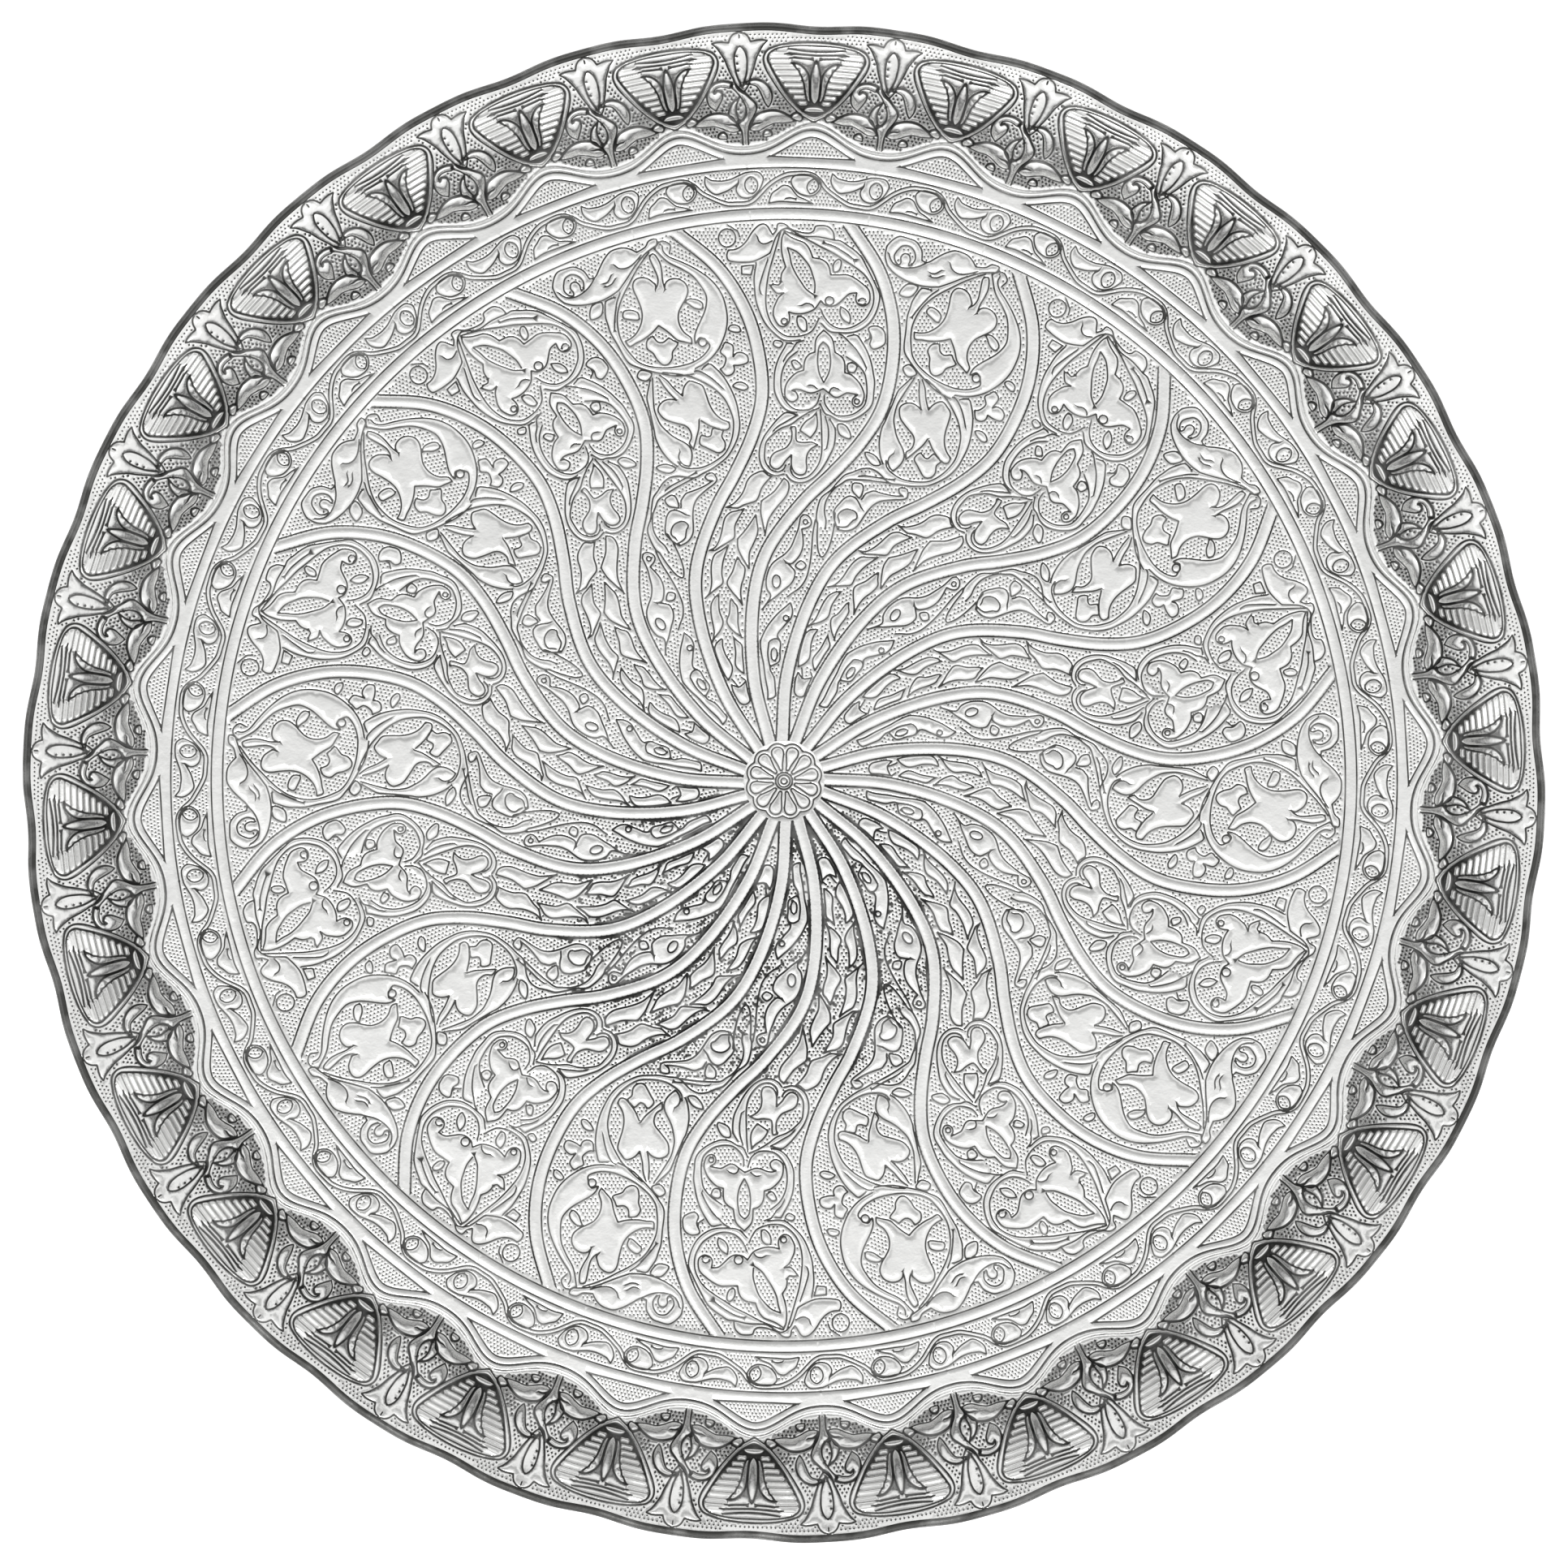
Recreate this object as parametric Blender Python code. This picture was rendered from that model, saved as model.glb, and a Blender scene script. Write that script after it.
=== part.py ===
"""Round serving tray: one pressed sheet with a fluted wall, its edge rolled round a wire.

Metres, +Z up. The tray rests on the flat underside of its well at z = 0, centred on the Z axis.
"""

import math

import bmesh
import bpy

MM = 0.001

# Overall sizes
RIM_RADIUS = 300.0 * MM       # mean radius of the rolled edge's outer side
HEIGHT = 30.0 * MM            # underside of the well to the top of the rolled edge
SHEET = 0.7 * MM              # sheet thickness
WIRE_RADIUS = 1.1 * MM
ROLL_RADIUS = 2.2 * MM        # outside of the rolled edge

# Lobes: a shield panel on each inward dip of the rim, a lily on each outward bulge
LOBES = 30
SHIELD_ANGLE = math.radians(3.43)
STEPS_PER_LOBE = 6
STEPS = LOBES * STEPS_PER_LOBE

# Foot of the wall: a wavy bead between the well and the wall
FLAT_RADIUS = 244.0 * MM      # the well is flat and round out to here
FOOT_RADIUS = 255.7 * MM      # mean radius of the bead's crest
FOOT_WAVE = 4.5 * MM          # the crest swings this far out under a shield and in under a lily
BEAD_HALF_WIDTH = 2.1 * MM
BEAD_HEIGHT = 1.0 * MM

# Rim: shallow scallops, and a slight rise and fall
RIM_WAVE = 0.77 * MM
RIM_CUSP = 0.23 * MM
RIM_LIFT = 0.5 * MM

WALL_STATIONS = (0.22, 0.5, 0.78)   # shares of the wall's width where its section has a point
ROLL_STEPS = 6                      # flats round the rolled edge
ROLL_START = math.radians(118)      # where the wall runs into the roll, seen round the wire
ROLL_TURN = math.radians(285)       # how far the sheet wraps the wire; the rest stays open


def wall_rise(share):
    """Height share of the wall at a share of its width: steep at the foot, flatter at the rim."""
    return 0.55 * share + 0.45 * (1.0 - (1.0 - share) ** 2)


def roll_centre():
    return RIM_RADIUS - ROLL_RADIUS, HEIGHT - RIM_LIFT - ROLL_RADIUS


def roll_point(radius, share):
    """A point of the rolled edge, at this share of its turn."""
    r, z = roll_centre()
    angle = ROLL_START - ROLL_TURN * share
    return r + radius * math.cos(angle), z + radius * math.sin(angle)


def skin(offset):
    """The section of one side of the sheet from the axis to the roll: 0 = top, 1 = underside."""
    drop = offset * SHEET
    start_r, start_z = FOOT_RADIUS + BEAD_HALF_WIDTH, SHEET + 0.3 * MM
    end_r, end_z = roll_point(ROLL_RADIUS - drop, 0.0)
    points = [
        (0.0, SHEET - drop),
        (FLAT_RADIUS, SHEET - drop),
        (FOOT_RADIUS - BEAD_HALF_WIDTH + 0.4 * drop, SHEET - drop),
        (FOOT_RADIUS + 0.2 * drop, SHEET + BEAD_HEIGHT - drop),
        (start_r + 0.5 * drop, start_z - drop),
    ]
    for share in WALL_STATIONS:
        points.append((
            start_r + (end_r - start_r) * share + 0.5 * drop * (1.0 - share),
            start_z - drop + (end_z - start_z + drop) * wall_rise(share) - 0.35 * drop,
        ))
    return points


def sheet_section():
    top, underside = skin(0), skin(1)
    roll = [roll_point(ROLL_RADIUS, i / ROLL_STEPS) for i in range(ROLL_STEPS + 1)]
    lining = [roll_point(ROLL_RADIUS - SHEET, i / ROLL_STEPS) for i in range(ROLL_STEPS + 1)]
    return top + roll + lining[::-1] + underside[::-1]


def smooth(share):
    share = min(max(share, 0.0), 1.0)
    return share * share * (3.0 - 2.0 * share)


def flute(co):
    """Moves a point of the round tray to its place on the lobed one."""
    r, angle = math.hypot(co.x, co.y), math.atan2(co.y, co.x)
    if r <= FLAT_RADIUS + 0.01 * MM:
        return
    swing = math.cos(LOBES * (angle - SHIELD_ANGLE))
    cusp = math.cos(2 * LOBES * (angle - SHIELD_ANGLE))
    near_foot = min((r - FLAT_RADIUS) / (FOOT_RADIUS - BEAD_HALF_WIDTH - FLAT_RADIUS), 1.0)
    up_wall = (r - FOOT_RADIUS) / (RIM_RADIUS - 2 * ROLL_RADIUS - FOOT_RADIUS)
    up_wall = min(max(up_wall, 0.0), 1.0)
    foot = FOOT_WAVE * swing * near_foot
    rim = -RIM_WAVE * swing - RIM_CUSP * cusp
    moved = r + foot * (1.0 - up_wall) + rim * up_wall
    co.x, co.y = moved * math.cos(angle), moved * math.sin(angle)
    co.z -= RIM_LIFT * swing * smooth(up_wall)


def spun(name, section, closed, material, collection):
    """Spins a section about the Z axis, then flutes it into lobes."""
    mesh = bpy.data.meshes.new(name)
    bm = bmesh.new()
    turn = SHIELD_ANGLE
    verts = [bm.verts.new((r * math.cos(turn), r * math.sin(turn), z)) for r, z in section]
    edges = [bm.edges.new(pair) for pair in zip(verts, verts[1:])]
    if closed:
        edges.append(bm.edges.new((verts[-1], verts[0])))
    bmesh.ops.spin(bm, geom=verts + edges, cent=(0, 0, 0), axis=(0, 0, 1),
                   angle=2 * math.pi, steps=STEPS, use_merge=False, use_duplicate=False)
    bmesh.ops.remove_doubles(bm, verts=bm.verts, dist=0.00001)
    bmesh.ops.recalc_face_normals(bm, faces=bm.faces)
    for vert in bm.verts:
        flute(vert.co)
    bmesh.ops.triangulate(bm, faces=bm.faces)
    for face in bm.faces:
        face.smooth = True
    for edge in bm.edges:
        edge.smooth = not edge.is_manifold or edge.calc_face_angle() < math.radians(50)
    bm.to_mesh(mesh)
    bm.free()
    mesh.materials.append(material)
    obj = bpy.data.objects.new(name, mesh)
    collection.objects.link(obj)
    return obj


def metal(name, colour, roughness, metallic):
    material = bpy.data.materials.new(name)
    material.use_nodes = True
    shader = material.node_tree.nodes["Principled BSDF"]
    shader.inputs["Base Color"].default_value = (*colour, 1.0)
    shader.inputs["Roughness"].default_value = roughness
    shader.inputs["Metallic"].default_value = metallic
    material.diffuse_color = (*colour, 1.0)
    return material


def wire_section():
    """The wire's round section, its corners in line with those of the roll round it."""
    r, z = roll_centre()
    sides = 6
    return [
        (r + WIRE_RADIUS * math.cos(ROLL_START - 2 * math.pi * i / sides),
         z + WIRE_RADIUS * math.sin(ROLL_START - 2 * math.pi * i / sides))
        for i in range(sides)
    ]


for old in list(bpy.data.objects):
    bpy.data.objects.remove(old)

tray = bpy.data.collections.new("embossed_tray")
bpy.context.scene.collection.children.link(tray)

plate = metal("silver_plate", (0.78, 0.77, 0.75), 0.28, 1.0)
iron = metal("iron_wire", (0.42, 0.41, 0.40), 0.45, 1.0)

spun("tray_sheet", sheet_section(), False, plate, tray)
spun("rim_wire", wire_section(), True, iron, tray)
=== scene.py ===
import math
import random

import bpy
import numpy as np
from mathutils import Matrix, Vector
from mathutils.geometry import delaunay_2d_cdt
from mathutils.kdtree import KDTree


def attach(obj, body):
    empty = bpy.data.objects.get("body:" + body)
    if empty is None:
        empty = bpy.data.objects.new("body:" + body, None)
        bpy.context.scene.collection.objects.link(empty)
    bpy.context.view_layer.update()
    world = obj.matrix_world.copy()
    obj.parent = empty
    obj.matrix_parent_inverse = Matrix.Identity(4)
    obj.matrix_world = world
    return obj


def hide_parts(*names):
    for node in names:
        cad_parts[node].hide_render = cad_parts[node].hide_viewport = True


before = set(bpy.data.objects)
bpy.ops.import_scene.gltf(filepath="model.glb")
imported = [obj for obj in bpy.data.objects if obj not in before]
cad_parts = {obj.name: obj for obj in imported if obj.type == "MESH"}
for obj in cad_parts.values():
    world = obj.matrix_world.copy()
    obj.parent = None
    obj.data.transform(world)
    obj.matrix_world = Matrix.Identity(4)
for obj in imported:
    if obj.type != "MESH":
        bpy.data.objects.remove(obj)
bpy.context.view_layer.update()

MM = 0.001

# ---- sizes of the tray, in millimetres; its outside stays just inside that of the plain solids ----
RIM_RADIUS = 299.75
HEIGHT = 29.85
SHEET = 0.7
ROLL_RADIUS = 2.2
SECTORS = 10              # of the swirling field
SECTOR = 360.0 / SECTORS
LOBES = 30                # of the wall
LOBE = 360.0 / LOBES
NEIGHBOURS = (-LOBE, 0.0, LOBE)
SHIELD_ANGLE = 3.43       # bearing of the first shield, in degrees
RIM_WAVE = 0.77
RIM_CUSP = 0.23
RIM_LIFT = 0.5
ROLL_START = math.radians(118)
ROLL_TURN = math.radians(285)

FIELD_RADIUS = 221.7      # the swirling field ends here and the plain ring begins
ROSETTE_RADIUS = 16.0
FOOT_RADIUS = 254.0       # mean radius of the bead's crest
FOOT_WAVE = 4.65          # the crest swings out under a shield and in under a lily
FOOT_POINT = 0.55         # and is more pointed under the shields
BEAD_HEIGHT = 1.0
BEAD_SLOPE = 2.1          # width of the bead's inner side
WALL_START = 1.8          # the wall starts this far outside the bead's crest
WALL_FOOT = 0.3           # and this far above the well

# ---- how the metal is worked ----
GROOVE_HALF = 0.40        # half the width of a chased line
GROOVE_DEPTH = 0.30
SHOULDER = 0.55           # a raised shape reaches its height this far inside its outline
BACK_SHOULDER = 1.5       # and this far inside it when seen from behind
HIGH_WORK = 0.48          # a shape raised more than this swells towards its middle
SWELL_HIGH = 0.55         # by this share of its height
SWELL_LOW = 0.12          # and a lower one by this
SWELL_REACH = 2.0
PUNCH_FINE = (1.6, 0.58, 0.50)     # pitch, half width and depth of the punch marks in the well
PUNCH_COARSE = (1.6, 0.62, 0.60)   # and of those on the wall
PUNCH_ROWS = 0.87         # rows of punch marks are this share of the pitch apart
PUNCH_STRAY = 0.08        # each mark strays this far from its place
LEAF = 0.34               # height of leaves and flowers over the ground
VINE = 0.46
CORD = 0.36
CORD_HALF = 2.2
CORD_SHOULDER = 0.8
CORD_CROWN = 0.12
CORD_EDGE = 0.3           # the chased lines along a cord are this far outside it
RIB_HALF = 0.88
RIB_HEIGHT = 0.85
PANEL = 0.05              # height of the shield's inner panel
LILY = 0.6                # and of a lily's leaves

# =====================================================================================
# The swirling field. One tenth of it holds two compartments between S-shaped cords.
# Millimetres from the tray's centre, x to the right and y up.
# =====================================================================================

# the cord's middle line, as (radius, degrees anticlockwise from +X)
CORD_LINE = [
    (15.5, 110.6), (41.7, 106.4), (71, 99.9), (90.3, 94.6), (110.8, 86.1), (123, 81.1),
    (137.4, 77.2), (152, 75.3), (169.5, 75.4), (187, 76.7), (204.6, 79.3), (222.3, 83.4),
]

GAP = None                # starts a stroke that doesn't start where the one before it ended

# raised leaves and flowers: each is a closed outline of one or more smooth strokes, and each stroke
# leaves out its first point, the corner where the stroke before it ended
LEAVES = [
    # large palmette
    [[(3, 215), (5.5, 213.9), (8, 212.9), (9.7, 211), (10.7, 208.9), (11.3, 207)],
     [(12.6, 206.8), (15.1, 206.2), (17, 204.8), (18, 202.7), (18.4, 200.2)],
     [(21.8, 200.2), (25.1, 200.2), (28, 198.9), (30.9, 196.8), (33.4, 194.3), (34, 191.8), (33.6, 189.2),
      (31.5, 187.9), (29.4, 188.5), (28.4, 190.3), (28.8, 193.1)],
     [(25.9, 192.7), (23.8, 191), (21.8, 189.1), (20.1, 188.1), (18, 187.9), (16.3, 188.3), (14.5, 190)],
     [(12.4, 187), (11.3, 186.2), (8.8, 185.2), (6.3, 184.8), (3.8, 185), (1.8, 185.6)],
     [(2.2, 183.6), (1.9, 181.4), (0.1, 179.8), (-1.9, 180.2), (-3.3, 182), (-4.3, 184.3)],
     [(-4.1, 186.8), (-3.3, 188.9), (-2, 191.4), (0.1, 193.1)],
     [(-2.6, 192.9), (-3.7, 193.7), (-4.9, 195.2), (-5.5, 195.9), (-3.7, 196.4), (-2.2, 196.2),
      (-1.2, 197.3)],
     [(-1.2, 199.3), (-0.8, 201), (0.7, 203.3)], [(-0.3, 206.4), (-1, 210.2), (-0.8, 214.8), (0, 217)]],
    [[(24.3, 186.6), (25.7, 185), (26.3, 182.7), (25.9, 181)],
     [(23.4, 182.5), (22.2, 184.8), (22.4, 187.7)]],
    [[(7.2, 183.6), (8.6, 182.3), (9, 180.2), (9, 178.2)],
     [(7.6, 177.9), (5.7, 179.8), (5.1, 182.2), (5.3, 183.8)]],
    [[(20.5, 205.8), (21.5, 206.4), (22.6, 205.6), (22, 202.3), (21, 201.4), (19.7, 201.4), (19.5, 204.1)]],
    [[(-12, 204.1)], [(-13, 200.2)], [(-16.7, 200.5)], [(-16.8, 203.6)]],
    [[(-3.5, 174.3), (-0.5, 173.3), (-1.8, 171.4), (-4.3, 172.7)]],
    [[(35.5, 180), (38, 179.5), (39.7, 177.7), (40.1, 175.6), (39.9, 173.1), (37.6, 171.4), (35.1, 171),
      (33.9, 172.6), (34.6, 175.4), (33.4, 179.1)]],
    # arabesque under the ring, over the large palmette
    [[(-19.5, 210.2), (-17, 211.4), (-14.9, 213.5), (-12.8, 216.8), (-11.2, 218.7), (-9.5, 220),
      (-7.8, 220.3), (-6.6, 219.5), (-5.5, 217.7), (-4.4, 216)],
     [(-3, 217.9), (-2.4, 220.3), (0.1, 220.4), (2.6, 218.5), (5.1, 217.5), (8, 216.8), (10.5, 216.8),
      (11.8, 217.7), (12.4, 219.3), (14.7, 219.7), (17.2, 219.4), (18.4, 218.5), (19.5, 217),
      (19.9, 213.9)],
     [(14, 215.2), (7, 215.6), (1, 218.6), (-2.4, 216.4), (-5.5, 208.8)],
     [(-7.4, 207.7), (-9.5, 206.6), (-12.4, 205.5), (-15.8, 205.2), (-19.5, 205.4), (-22, 206),
      (-22.6, 208), (-22, 210)]],
    # medium palmette
    [[(19, 175), (20.1, 169.6)], [(22.2, 168.3), (23.6, 166.6), (24, 164.9), (24, 161.5)],
     [(26.3, 160.8), (28.4, 159.1), (30.1, 157), (31.1, 154.9), (31.7, 152.8), (31.5, 151.2), (30.7, 149.1),
      (28.8, 148), (27.1, 149.2), (27.3, 151.4), (29.3, 152.8)],
     [(26.8, 153.3), (24.7, 153.5), (23, 152.6), (21.3, 151.8), (19.7, 152), (18.4, 153), (15.5, 155.2)],
     [(12, 153.7), (10.5, 153.5), (8.8, 153.9), (6.8, 154.7), (4.7, 155), (3, 154.5)],
     [(4.6, 153.9), (5.5, 151.6), (3.8, 150.1), (2.2, 150.3), (0.5, 152), (0.3, 154), (0.5, 155.8),
      (1.3, 157.8), (3, 159.9), (5.1, 161.6), (7.8, 162.5)],
     [(8, 165.3), (8.6, 167.2), (10.1, 168.9), (12.2, 169.6)], [(12.8, 175), (15.7, 178.4)]],
    [[(4.5, 166.5), (5.9, 165.5), (6.8, 164.1), (4.7, 162.8), (3, 166)]],
    [[(27.2, 165.3), (28.8, 164.2), (27.6, 161.6), (25.5, 162), (25.1, 163), (25.3, 165.1)]],
    # small heart: the leaf over it, the trefoil in it
    [[(11.3, 144.1), (8.8, 142.4), (7.2, 140.5), (6.3, 138.7)], [(10.5, 135.8)],
     [(12.6, 138.7), (13.2, 141.2), (12.8, 145.8)]],
    [[(3, 138.7), (3, 135.3), (2.4, 133.9), (0.9, 132), (-1.2, 131), (-3.7, 129.9), (-5.1, 128.3),
      (-5.5, 126.6), (-5.5, 125.3), (-4.1, 123.7), (-2.4, 123.5), (-0.3, 125.3), (0.5, 126.6), (3, 129.2)],
     [(3, 124.5), (4.3, 122), (6.3, 121.1), (8.2, 121.6), (9, 123.7), (8.8, 126.6), (9.3, 129.5),
      (10.9, 131.6), (13.4, 133)],
     [(10.9, 134.1), (8.2, 133.9), (5.1, 134.5), (4.7, 136.2), (4.7, 138.7), (4.3, 140.3), (2.4, 139.7)]],
    [[(23.8, 141), (25.5, 139.1), (26.5, 136.2), (26.1, 135.4), (23.8, 136), (21.8, 137.4), (21.3, 141.1)]],
    # rope of paired leaves running down to the centre
    [[(-20.3, 109.5), (-18.2, 111.5), (-16.5, 113.8), (-15.3, 116.5), (-14.8, 118.2), (-13.2, 120.5),
      (-11.1, 121.8), (-8.4, 122.6), (-6.5, 121.1), (-5, 120.4)],
     [(-7.3, 118), (-9, 115.5), (-10, 112.6), (-11.1, 110.9), (-13.2, 110.1), (-15.7, 109.3), (-18.2, 108)],
     [(-23, 108.3)]],
    [[(-6.5, 112.6), (-4, 114.5), (-1.9, 117.2), (0, 119.9)],
     [(1.6, 118.4), (2, 116.3), (1.2, 113.4), (-0.3, 111.3), (-2.3, 109), (-4.4, 106.3), (-6.1, 103.4),
      (-6.9, 100.5), (-7.5, 97.6)],
     [(-8.6, 103), (-9.2, 106.3), (-9, 110.8)]],
    [[(-27.3, 92.4), (-25.7, 95.1), (-24.6, 98.8), (-24, 101.8), (-23.2, 104.3), (-21.1, 106.3),
      (-18.2, 107), (-15.7, 107.8)],
     [(-18.2, 103.6), (-19.4, 100.9), (-19.7, 96.3), (-21.5, 94.9), (-25.3, 92.6), (-27.3, 91.3),
      (-29.4, 91.3)]],
    [[(-15.7, 98.8), (-13.2, 102.2), (-11.1, 105.5)],
     [(-10.7, 102.2), (-10.3, 99.7), (-10.7, 97.2), (-12.3, 93.4), (-13.6, 90.5), (-13.8, 84)],
     [(-16.5, 88.4), (-18.2, 92.2), (-18.4, 95.8)]],
    [[(-29.8, 73.8), (-29, 75.9), (-28.6, 78.8), (-28.8, 83), (-28.6, 86.3), (-27.3, 89.7), (-24.8, 91.3),
      (-21.9, 93.4)],
     [(-23.4, 89.3), (-24.2, 86.3), (-24.6, 82.2), (-24.2, 78.4), (-26.5, 76.3), (-29, 74.3),
      (-30.9, 72.6)]],
    [[(-16.9, 86.3), (-15.5, 84.5), (-15.7, 81.3), (-16.9, 77.2), (-17.1, 73.8), (-16.4, 69.6)],
     [(-18.2, 72.2), (-20.7, 75.1), (-22.5, 78.4), (-20.3, 83), (-19.4, 85.9), (-18.3, 88.8)]],
    [[(-27.4, 72.5), (-28.7, 70.2), (-28.9, 67.1), (-28.5, 64), (-27.8, 60.5), (-27.6, 58.6),
      (-28.2, 55.2)],
     [(-27.4, 56.7), (-25.1, 59.8), (-24.1, 62.8), (-25.5, 67.1), (-25.8, 70.2), (-25.8, 74)]],
    [[(-19.7, 70.5), (-18.7, 69.4), (-18.2, 66.3), (-18.2, 62.5), (-17.6, 59), (-16.8, 57.1)],
     [(-20.1, 59.4), (-22.6, 63), (-21.6, 66.3), (-21.2, 71.3), (-20.8, 72.3)]],
    [[(-27.4, 52.5), (-26.6, 49.4), (-25.1, 45.5), (-23.5, 42.1), (-22, 39.8)],
     [(-20.7, 42.5), (-20.5, 45.3), (-23.2, 50.2), (-24.3, 53.6), (-24.5, 56.3), (-26.8, 54.4)]],
    [[(-18.5, 55.5), (-16.8, 54), (-16.4, 49.4), (-16, 45.5), (-15.8, 42.5)],
     [(-17.4, 43.6), (-19.1, 45.7), (-19.1, 50.9), (-19.7, 55.5), (-19.9, 56.9)]],
    [[(-20.1, 35.5), (-18.5, 32.5), (-17.4, 30.9), (-16, 30.3), (-14.7, 30.5), (-13.5, 31.7), (-14.3, 35.2),
      (-15.1, 39.4)],
     [(-17.8, 37.2), (-20.8, 38.2)]],
    # arabesque over the tulip
    [[(42.2, 213.3), (44, 214.7), (45.8, 215.4), (49.5, 214.5), (52, 213.5), (53.5, 211.7), (54.5, 209.5),
      (54.5, 205.8)],
     [(56.7, 205.1), (60.4, 207), (64, 208.8), (67.6, 209.7), (70.4, 209), (72.6, 207.9), (74.5, 205.8),
      (75.8, 203.3)],
     [(79.9, 203.1), (82.2, 204.2), (85.1, 203.1), (84, 201)],
     [(78, 200.9), (72, 199.3), (66, 197), (61.3, 195.4)],
     [(57.6, 195.4), (53.5, 196), (49.9, 197.2), (46.3, 199), (43.1, 201.3), (40.8, 204)],
     [(40, 207.5), (40.6, 211.5)]],
    # tulip and its bud, flower and leaves
    [[(53.5, 177.2), (56.3, 177.4), (59, 178.5), (61.3, 180.1), (63.1, 182.2), (64.2, 184.5), (65.4, 189),
      (65.8, 191.3), (66.7, 193.5), (68.1, 194.7), (69.7, 194.9), (71.7, 194), (73.1, 192.6), (73.9, 190.4),
      (74.2, 188.5), (73.1, 187.1)],
     [(75.1, 188.3), (76.5, 190.1), (77.4, 193.1), (78.1, 196.7), (78.8, 198.8), (80.7, 199.2),
      (80.8, 194.9), (79.5, 191.7), (77.6, 188.5), (76.3, 185.1)],
     [(77.6, 186.7), (79.5, 187.1), (81.7, 186.3), (83.3, 184.7), (84.1, 182.6), (84, 180.8), (83.1, 179),
      (80.8, 177.2), (78.1, 176), (75.4, 174.5), (73.5, 172.2), (72.5, 169.5), (72.4, 166.7), (73.3, 163.3),
      (72.2, 161.3)],
     [(70.4, 163.5), (68.5, 165.8), (67.6, 169.5), (67, 171.7), (65.8, 174.9)],
     [(62.2, 174.1), (57.6, 174), (54.5, 174.5), (51.7, 174.9), (51.5, 177.6)]],
    [[(57.9, 187.4), (59.9, 186.7), (61.3, 185.4), (62.1, 183.8), (60.9, 181.4), (58, 183.5),
      (56.3, 185.6)]],
    [[(57, 170.8), (58.5, 172.6), (61.5, 172.7), (61.5, 171.7), (61.7, 169.9), (63.1, 168.5),
      (66.3, 168.6)],
     [(67, 166.7), (67.8, 164.7), (64, 163.1), (62.6, 161.3), (59.9, 160.3), (58.1, 161.3), (57.4, 164.5),
      (57.6, 167.2), (56.7, 169.9)]],
    [[(81.7, 176.3), (83.5, 174.9), (84.7, 173.1), (84.9, 171.5), (83.5, 170.2), (81.3, 172.2),
      (80.5, 174.5), (79.9, 176.3)]],
    [[(88.5, 158.2), (90.4, 157.4), (91.3, 155.8), (90.6, 154), (88.8, 154.9), (87.2, 157.4)]],
    [[(48.8, 196.5), (52.9, 195.4), (49.9, 191.5), (45.6, 192.6)]],
    [[(49.5, 164.7), (52.4, 161), (49, 160), (47, 163.3)]],
    # hanging tulip in the large heart, and the small flower under it
    [[(53, 148.1), (51.3, 149.2), (49.4, 149.6), (47.1, 149), (45.8, 147.7), (45.9, 143.8), (47.5, 141.2),
      (49.4, 138.8), (50.9, 136.9), (51.5, 135), (50.9, 132.3), (49.8, 131), (48.4, 130.2), (48.2, 127.3)],
     [(49.8, 128.5), (52.1, 130.4), (54.8, 132.7), (56.9, 135.4)],
     [GAP, (57.3, 134.6), (59, 130.8), (60.9, 128.1), (63.2, 125.8), (64.8, 125.8), (65.9, 127.7)],
     [(64.4, 130), (63.6, 132.3), (63.4, 135.4), (64, 138.8), (65, 141.9), (65.8, 145.6), (64.4, 148.1),
      (62.8, 150), (60.5, 149.7), (58.6, 148.5), (57.1, 146.7)],
     [(56.1, 151.2), (55.7, 155.4), (54.6, 158.8)],
     [GAP, (53.6, 157.7), (53.4, 154.2), (53.6, 150.4), (54.2, 146.7)]],
    [[(54, 129.8), (55.2, 128.3), (56.7, 127.5), (59.2, 129.3), (60.9, 127.7), (61.9, 126.3), (60.3, 124.8),
      (59.8, 121.9), (58.6, 120.4), (56.7, 119.8), (55.2, 120.4), (54, 122.3), (52.8, 124.6),
      (51.5, 127.5)]],
    [[(76.7, 146.6), (78.2, 147.3), (79.8, 149), (79.4, 152.1), (81.3, 153.1), (83, 154), (84.2, 152.9),
      (84.8, 151.2), (82.3, 147.5)],
     [(84.4, 148), (86.3, 146.7), (87.1, 144.6), (85.9, 142.5), (82.5, 143.4), (80.5, 144.8)],
     [(79.8, 143.1), (78.2, 142.3), (75.9, 143.1), (75.3, 146.7)]],
    [[(77.5, 138.5), (79.2, 137.5), (80.2, 135.4), (80, 134.2), (78.2, 134.3), (75.5, 138.3)]],
    [[(34.3, 129.7), (36.3, 128.5), (37.6, 126.6), (38, 125.1), (35.5, 124.9), (33.8, 126.2), (32.2, 128.7),
      (32, 130)]],
    # slim arabesques that turn down towards the centre
    [[(29.3, 117.9), (30.6, 117.6), (31.3, 116.5), (31.2, 114.8), (29.8, 112), (28.6, 113), (27, 115),
      (27.3, 117.7)]],
    [[(20.5, 108.2), (22, 109.9), (24, 111.9), (26.3, 112.8), (28.3, 111.9), (29.5, 110.3), (30.4, 108.3)],
     [GAP, (31.3, 112.2), (32.2, 113.6), (33.8, 114.3), (35.5, 114.8), (38, 114.1), (41, 113.3),
      (44, 112.8), (47, 112.7)],
     [(45.6, 114), (45.6, 115.8), (48.7, 115.4), (49, 113.5), (48.6, 112), (47, 111.4), (44, 111.3),
      (41, 111.1), (38, 110.6), (35.5, 109.3), (33.5, 107.3), (31.8, 105), (30.5, 103), (28.5, 100.5),
      (26, 99.2), (24, 99), (21.3, 99.5)],
     [(20, 103), (19.5, 106.4)]],
    [[(6.6, 104.3), (8.1, 105.4), (9.8, 104.7), (10.8, 103), (10.6, 101.3), (9.3, 100.3), (7, 99.7)],
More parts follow.
